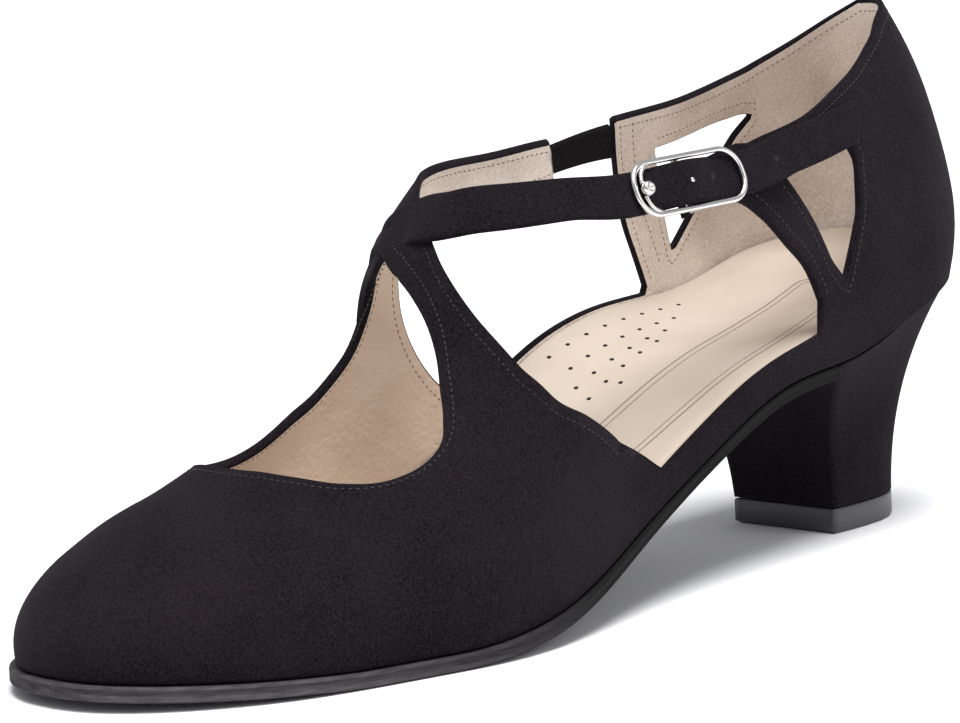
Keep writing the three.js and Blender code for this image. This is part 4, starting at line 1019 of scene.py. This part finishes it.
def strap_at(run):
    """Middle, width direction and outward direction along the woven strap."""
    past = (run - BUCKLE_AT) * STRAP_LENGTH
    near = np.abs(past) / (BUCKLE_LENGTH / 2)
    t = np.clip((near - 1) / 0.9, 0, 1)
    straight = (1 - t * t * (3 - 2 * t))[:, None]
    along, up_own, out_own = strap_frame(run)
    up_way = unit(up_own * (1 - straight) + buckle_up * straight)
    out_way = unit(out_own * (1 - straight) + buckle_out * straight)
    line = buckle_middle + buckle_along * past[:, None]
    weave = np.where(near < 1,
                     -STRAP_DIP + (STRAP_HUMP + STRAP_DIP) * np.cos(np.minimum(near, 1) * math.pi / 2)**4,
                     -STRAP_DIP * np.clip(2 - near, 0, 1))
    middle = strap_middle(run) * (1 - straight) + line * straight + out_way * weave[:, None]
    return middle, up_way, out_way


def loft(rings, closed=False):
    """A form through rings of points, closed on itself or capped by fans."""
    rings = np.asarray(rings)
    rows, n = rings.shape[:2]
    index = np.arange(rows * n).reshape(rows, n)
    after = np.roll(index, -1, axis=1)
    quads = np.stack([index, after, np.roll(after, -1, axis=0), np.roll(index, -1, axis=0)], -1)
    points = rings.reshape(-1, 3)
    if closed:
        faces = quads.reshape(-1, 4).tolist()
    else:
        points = np.concatenate([points, rings[[0, -1]].mean(axis=1)])
        faces = quads[:-1].reshape(-1, 4).tolist()
        faces += [(b, a, rows * n) for a, b in zip(index[0], after[0])]
        faces += [(a, b, rows * n + 1) for a, b in zip(index[-1], after[-1])]
    return points, facing_out(points, faces)


def strap_mesh(steps=260, points_round=28):
    fine = steps * 2 // 13
    run = np.linspace(STRAP_START, FINE_FROM, steps - fine)
    run = np.concatenate([run, np.linspace(FINE_FROM, 1, fine + 1)[1:]])
    middle, up_way, out_way = strap_at(run)
    from_tip = np.clip((1 - run) / TIP_LENGTH, 0, 1)
    narrow = TIP_WIDTH + (1 - TIP_WIDTH) * np.sqrt(1 - (1 - from_tip)**2)
    half = (STRAP_WIDTH / 2 * strap_table["wide"](run) * narrow)[:, None]
    angle = np.linspace(0, 2 * math.pi, points_round, endpoint=False)
    c, s = np.cos(angle), np.sin(angle)
    w, h = np.sign(c) * np.abs(c)**WIDTH_POWER, np.sign(s) * np.abs(s)**HEIGHT_POWER
    along = unit(np.gradient(middle, axis=0))
    slant = TIP_SLANT * np.clip((run - SLANT_FROM) / (1 - SLANT_FROM), 0, 1)**2
    return loft(middle[:, None] + up_way[:, None] * (w * half)[..., None]
                + out_way[:, None] * (h * STRAP_THICKNESS / 2)[None, :, None]
                + along[:, None] * (w * slant[:, None])[..., None])


make_piece("instep_strap", *strap_mesh(), [black_suede], "suede", "upper")

# Strap holes: punched through the strap, each a short plug painted nearly black as
# painted shade for the inside of the hole. The second one from the strap's root holds the pin.
HOLE_PITCH = 7.3
HOLE_RADIUS = 0.62
HOLE_PLACES = (-1.55, 0, 0.85, 3.25)


def ring_rows(centre, along, across, out, profile, points_round=20):
    """A turned form: rings of (radius, height) round an axis."""
    angle = np.linspace(0, 2 * math.pi, points_round, endpoint=False)
    circle = np.cos(angle)[:, None] * along + np.sin(angle)[:, None] * across
    return loft([centre + circle * radius + out * height for radius, height in profile])


def join_parts(parts):
    points, faces, first = [], [], 0
    for p, f in parts:
        points.append(p)
        faces += [[i + first for i in face] for face in f]
        first += len(p)
    return np.concatenate(points), faces


surface = STRAP_THICKNESS / 2
profile = [(HOLE_RADIUS, surface - 0.3), (HOLE_RADIUS, surface + 0.03), (HOLE_RADIUS * 0.85, surface + 0.045)]
hole_runs = BUCKLE_AT + HOLE_PITCH * np.array(HOLE_PLACES) / STRAP_LENGTH
parts = [ring_rows(middle, np.cross(up_way, out_way), up_way, out_way, profile)
         for middle, up_way, out_way in zip(*strap_at(hole_runs))]
make_piece("strap_holes", *join_parts(parts), [hole_shade_paint], "suede")

# Buckle: cast and nickel-plated. A rounded ring, an inner arc with a ball
# stud at the toe end, and a cranked bar with the pin under the strap.
BUCKLE_CORNER = 4.6
BUCKLE_ARCH = 0.3
STUD_RADIUS = 1.5
ARC_FROM_END = 2.1
STUD_FROM_END = 2.3
PIN_PROUD = 0.25
STRAP_IN_BUCKLE = 0.935
HALF_X = BUCKLE_LENGTH / 2 - WIRE_RADIUS
HALF_Y = STRAP_WIDTH * STRAP_IN_BUCKLE / 2 + GAP + WIRE_RADIUS
buckle_across = np.cross(buckle_out, buckle_along)


def at_buckle(p):
    p = np.asarray(p, float)
    return buckle_middle + p[..., :1] * buckle_along + p[..., 1:2] * buckle_across + p[..., 2:] * buckle_out


def ring_level(x):
    return RING_LEVEL - BUCKLE_ARCH * (1 - (2 * x / BUCKLE_LENGTH)**2)


def wire(path, thick, closed=False, points_round=20):
    """A round wire along a path at the buckle, as thick as a share of its wire."""
    path = np.asarray(path, float)
    way = unit(np.roll(path, -1, 0) - np.roll(path, 1, 0) if closed else np.gradient(path, axis=0))
    level = np.where(np.abs(way[:, 2:]) > 0.9, (1.0, 0, 0), (0, 0, 1.0))
    side = unit(np.cross(way, level))
    angle = np.linspace(0, 2 * math.pi, points_round, endpoint=False)[:, None]
    section = side[:, None] * np.cos(angle) + np.cross(side, way)[:, None] * np.sin(angle)
    return loft(at_buckle(path[:, None] + WIRE_RADIUS * thick * section), closed)


ring = round_frame(HALF_X, HALF_Y, BUCKLE_CORNER, 19)
arc_x = -HALF_X + ARC_FROM_END
arc = smooth_run(((arc_x + 3.4, HALF_Y), (arc_x + 0.9, HALF_Y - 1.6), (arc_x, 1.4), (arc_x, -1.4),
                  (arc_x + 0.9, 1.6 - HALF_Y), (arc_x + 3.4, -HALF_Y)), 10)
parts = [wire(np.column_stack([ring, ring_level(ring[:, 0])]), 0.95, True, 24),
         wire(np.column_stack([arc, ring_level(arc[:, 0])]), 0.8),
         wire([(0, y, BAR_LEVEL) for y in np.linspace(-HALF_Y, HALF_Y, 12)], 0.9)]
parts += [wire([(0, y, z) for z in np.linspace(BAR_LEVEL, ring_level(0), 8)], 0.8) for y in (-HALF_Y, HALF_Y)]
# The stud is a ball with a dished top, and the pin's end is domed
stud_x = -HALF_X + STUD_FROM_END
stud_level = ring_level(stud_x) + STUD_RADIUS - WIRE_RADIUS
stud_profile = [(STUD_RADIUS * math.sin(t) + 0.01, -STUD_RADIUS * math.cos(t))
                for t in np.linspace(0, math.pi, 14)[:11]]
stud_profile += [(0.55, 0.72 * STUD_RADIUS), (0.42, 0.35 * STUD_RADIUS), (0.05, 0.3 * STUD_RADIUS)]
pin_top = STRAP_HUMP + STRAP_THICKNESS / 2 + PIN_PROUD
pin_profile = [(0.5, BAR_LEVEL), (0.5, pin_top - 0.2), (0.36, pin_top - 0.05), (0.15, pin_top)]
for centre, profile, sides in (((stud_x, 0, stud_level), stud_profile, 28), ((0, 0, 0), pin_profile, 20)):
    parts.append(ring_rows(at_buckle(centre), buckle_along, buckle_across, buckle_out, profile, sides))

nickel, tree, sockets, place = new_material("polished_nickel_plate", {
    "Base Color": linear("#d8d6d4"), "Metallic": 1})
# Plating with faint hand-rub marks, so its gloss isn't perfectly even
rub = add_node(tree, "ShaderNodeTexNoise", {"Scale": 700, "Detail": 4}, Vector=place)
add_node(tree, "ShaderNodeMapRange", {"To Min": 0.10, "To Max": 0.24}, sockets["Roughness"], Value=rub)
make_piece("buckle", *join_parts(parts), [nickel], "nickel", "buckle")

# Arm loop: the outer quarter's narrow tab folded round the buckle's bar and
# sewn down behind, seen only from inside the shoe.
TAB_WIDTH = 8
TAB_MARGIN = 0.4
start, end = PIN_DIAMETER / 2 + GAP, TAB_WIDTH / 2 - TAB_MARGIN
profile = [(WIRE_RADIUS + GAP, start), (LOOP_RADIUS, start), (LOOP_RADIUS, end), (WIRE_RADIUS + GAP, end)]
parts = [ring_rows(at_buckle([0, 0, BAR_LEVEL]), buckle_along, buckle_out, buckle_across * side, profile, 28)
         for side in (-1, 1)]
make_piece("arm_loop", *join_parts(parts), [black_suede], "suede")

# Outsole: a thin sueded leather sole cemented on from the heel breast to the
# toe, its cut edge trimmed a little proud and waxed black.
SOLE_PROUD = 1.3
HEEL_BREAST = 58.5
sole_leather, tree, sockets, place = new_material("waxed_black_sole_edge", {
    "Roughness": 0.8, "Specular IOR Level": 0.15})
# Layers of compressed fibre run round the trimmed edge
stretched = add_node(tree, "ShaderNodeMapping", {"Scale": (1, 1, 9)}, Vector=place)
layers = add_node(tree, "ShaderNodeTexNoise", {"Scale": 260, "Detail": 5}, Vector=stretched)
# and the colour goes lighter towards the toe, broken up by those layers
along_sole = add_node(tree, "ShaderNodeSeparateXYZ", Vector=place)
towards_toe = add_node(tree, "ShaderNodeMapRange", {"From Min": -0.02, "From Max": -0.085, "To Max": 0.75},
                  Value=along_sole.outputs["Y"])
lighter_towards_toe = add_node(tree, "ShaderNodeMath", {"operation": "MULTIPLY", 0: towards_toe, 1: layers})
add_node(tree, "ShaderNodeMix", two_tones("#0d0c0d", "#6a6569"), sockets["Base Color"], Factor=lighter_towards_toe)
add_node(tree, "ShaderNodeBump", {"Strength": 0.4, "Distance": 0.0003}, sockets["Normal"], Height=layers)
points, faces = plate(
    turn_at((HEEL_BREAST + GAP) / LAST_LENGTH), 190,
    lambda share: -SOLE_PROUD * np.clip((share - 0.45) / 0.2, 0, 1),
    lambda share: feather_z(share) - GAP - SOLE_THICKNESS,
    lambda share, across: feather_z(share) - GAP + 0 * across, 0.5)
make_piece("outsole", points, faces, [sole_leather], "sole_leather", "outsole")

# Heel: a moulded block covered in the upper's suede, nailed up through the
# seat. Its breast is flat and its back and sides flare up to the seat.
HEEL_BASE_WIDTH = 26.6
HEEL_BASE_FRONT = 47.2
HEEL_BASE_BACK = 19.6
TOP_PIECE_HEIGHT = 5
HEEL_CORNER = 2.9
HEEL_UNDER_SEAT = 0.6
SEAT_CLEARANCE = 1.7 * GAP


def heel_outline(height, count=181):
    flare, swell = height**2.6, 0.5 * height + 0.5 * height**3
    front = HEEL_BASE_FRONT + (HEEL_BREAST - HEEL_BASE_FRONT) * (0.35 * height + 0.65 * height**2.4)
    back_rise = 0.25 * height + 0.75 * height**2.2
    back_s = HEEL_BASE_BACK + (HEEL_TUCK + HEEL_UNDER_SEAT - HEEL_BASE_BACK) * back_rise
    angle = np.linspace(0, math.pi, count)
    s = front - (front - back_s) * np.sin(angle)**(2 / HEEL_CORNER)
    seat = np.clip(s / LAST_LENGTH, 0, 1)
    wide = last["half"](seat) * BALL_WIDTH - HEEL_UNDER_SEAT
    half = HEEL_BASE_WIDTH / 2 + (wide - HEEL_BASE_WIDTH / 2) * (0.8 * flare + 0.2 * swell)
    x = half * np.sign(np.cos(angle)) * np.abs(np.cos(angle))**(2 / HEEL_CORNER)
    return np.stack([x + last["centre"](seat) * BALL_WIDTH * height, s], -1)


def with_breast(ring, count=24):
    """The D outline with points across its flat front."""
    step = np.linspace(0, 1, count + 2)[1:-1, None]
    return np.concatenate([ring, ring[-1] * (1 - step) + ring[0] * step])


base = TOP_PIECE_HEIGHT + GAP
rings = []
for height in np.linspace(0, 1, 60):
    ring = with_breast(heel_outline(height))
    seat = feather_z(np.clip(ring[:, 1] / LAST_LENGTH, 0, 1)) - SEAT_CLEARANCE
    rings.append(np.column_stack([ring[:, 0], -ring[:, 1], base + (seat - base) * height]))
make_piece("heel_block", *loft(rings), [black_suede], "suede", "heel_block")

# Heel top piece: a moulded plastic lift, satin on its sides, pinned under the
# block. It is the part that wears and is replaced.
TOP_PIECE_EDGE = (
    # height, drawn in by
    (0, 0.6), (0.12, 0.3), (0.35, 0.08), (0.6, 0),
    (TOP_PIECE_HEIGHT - 0.4, 0), (TOP_PIECE_HEIGHT - 0.1, 0.1), (TOP_PIECE_HEIGHT, 0.35),
)
top_plastic, tree, sockets, place = new_material("satin_moulded_plastic", {"Base Color": linear("#3f3d41")})
# Fine mould texture and light handling marks
mould = add_node(tree, "ShaderNodeTexNoise", {"Scale": 1400, "Detail": 3}, Vector=place)
add_node(tree, "ShaderNodeMapRange", {"To Min": 0.32, "To Max": 0.48}, sockets["Roughness"], Value=mould)
add_node(tree, "ShaderNodeBump", {"Strength": 0.1, "Distance": 0.0001}, sockets["Normal"], Height=mould)
ring = with_breast(heel_outline(0.0))
centre_s = (HEEL_BASE_FRONT + HEEL_BASE_BACK) / 2
rings = []
for z, drawn_in in TOP_PIECE_EDGE:
    k = 1 - drawn_in / (HEEL_BASE_WIDTH / 2)
    y = -(centre_s + (ring[:, 1] - centre_s) * k)
    rings.append(np.column_stack([ring[:, 0] * k, y, np.full(len(ring), z)]))
make_piece("heel_top_piece", *loft(rings), [top_plastic], "top_piece", "heel_top_piece")
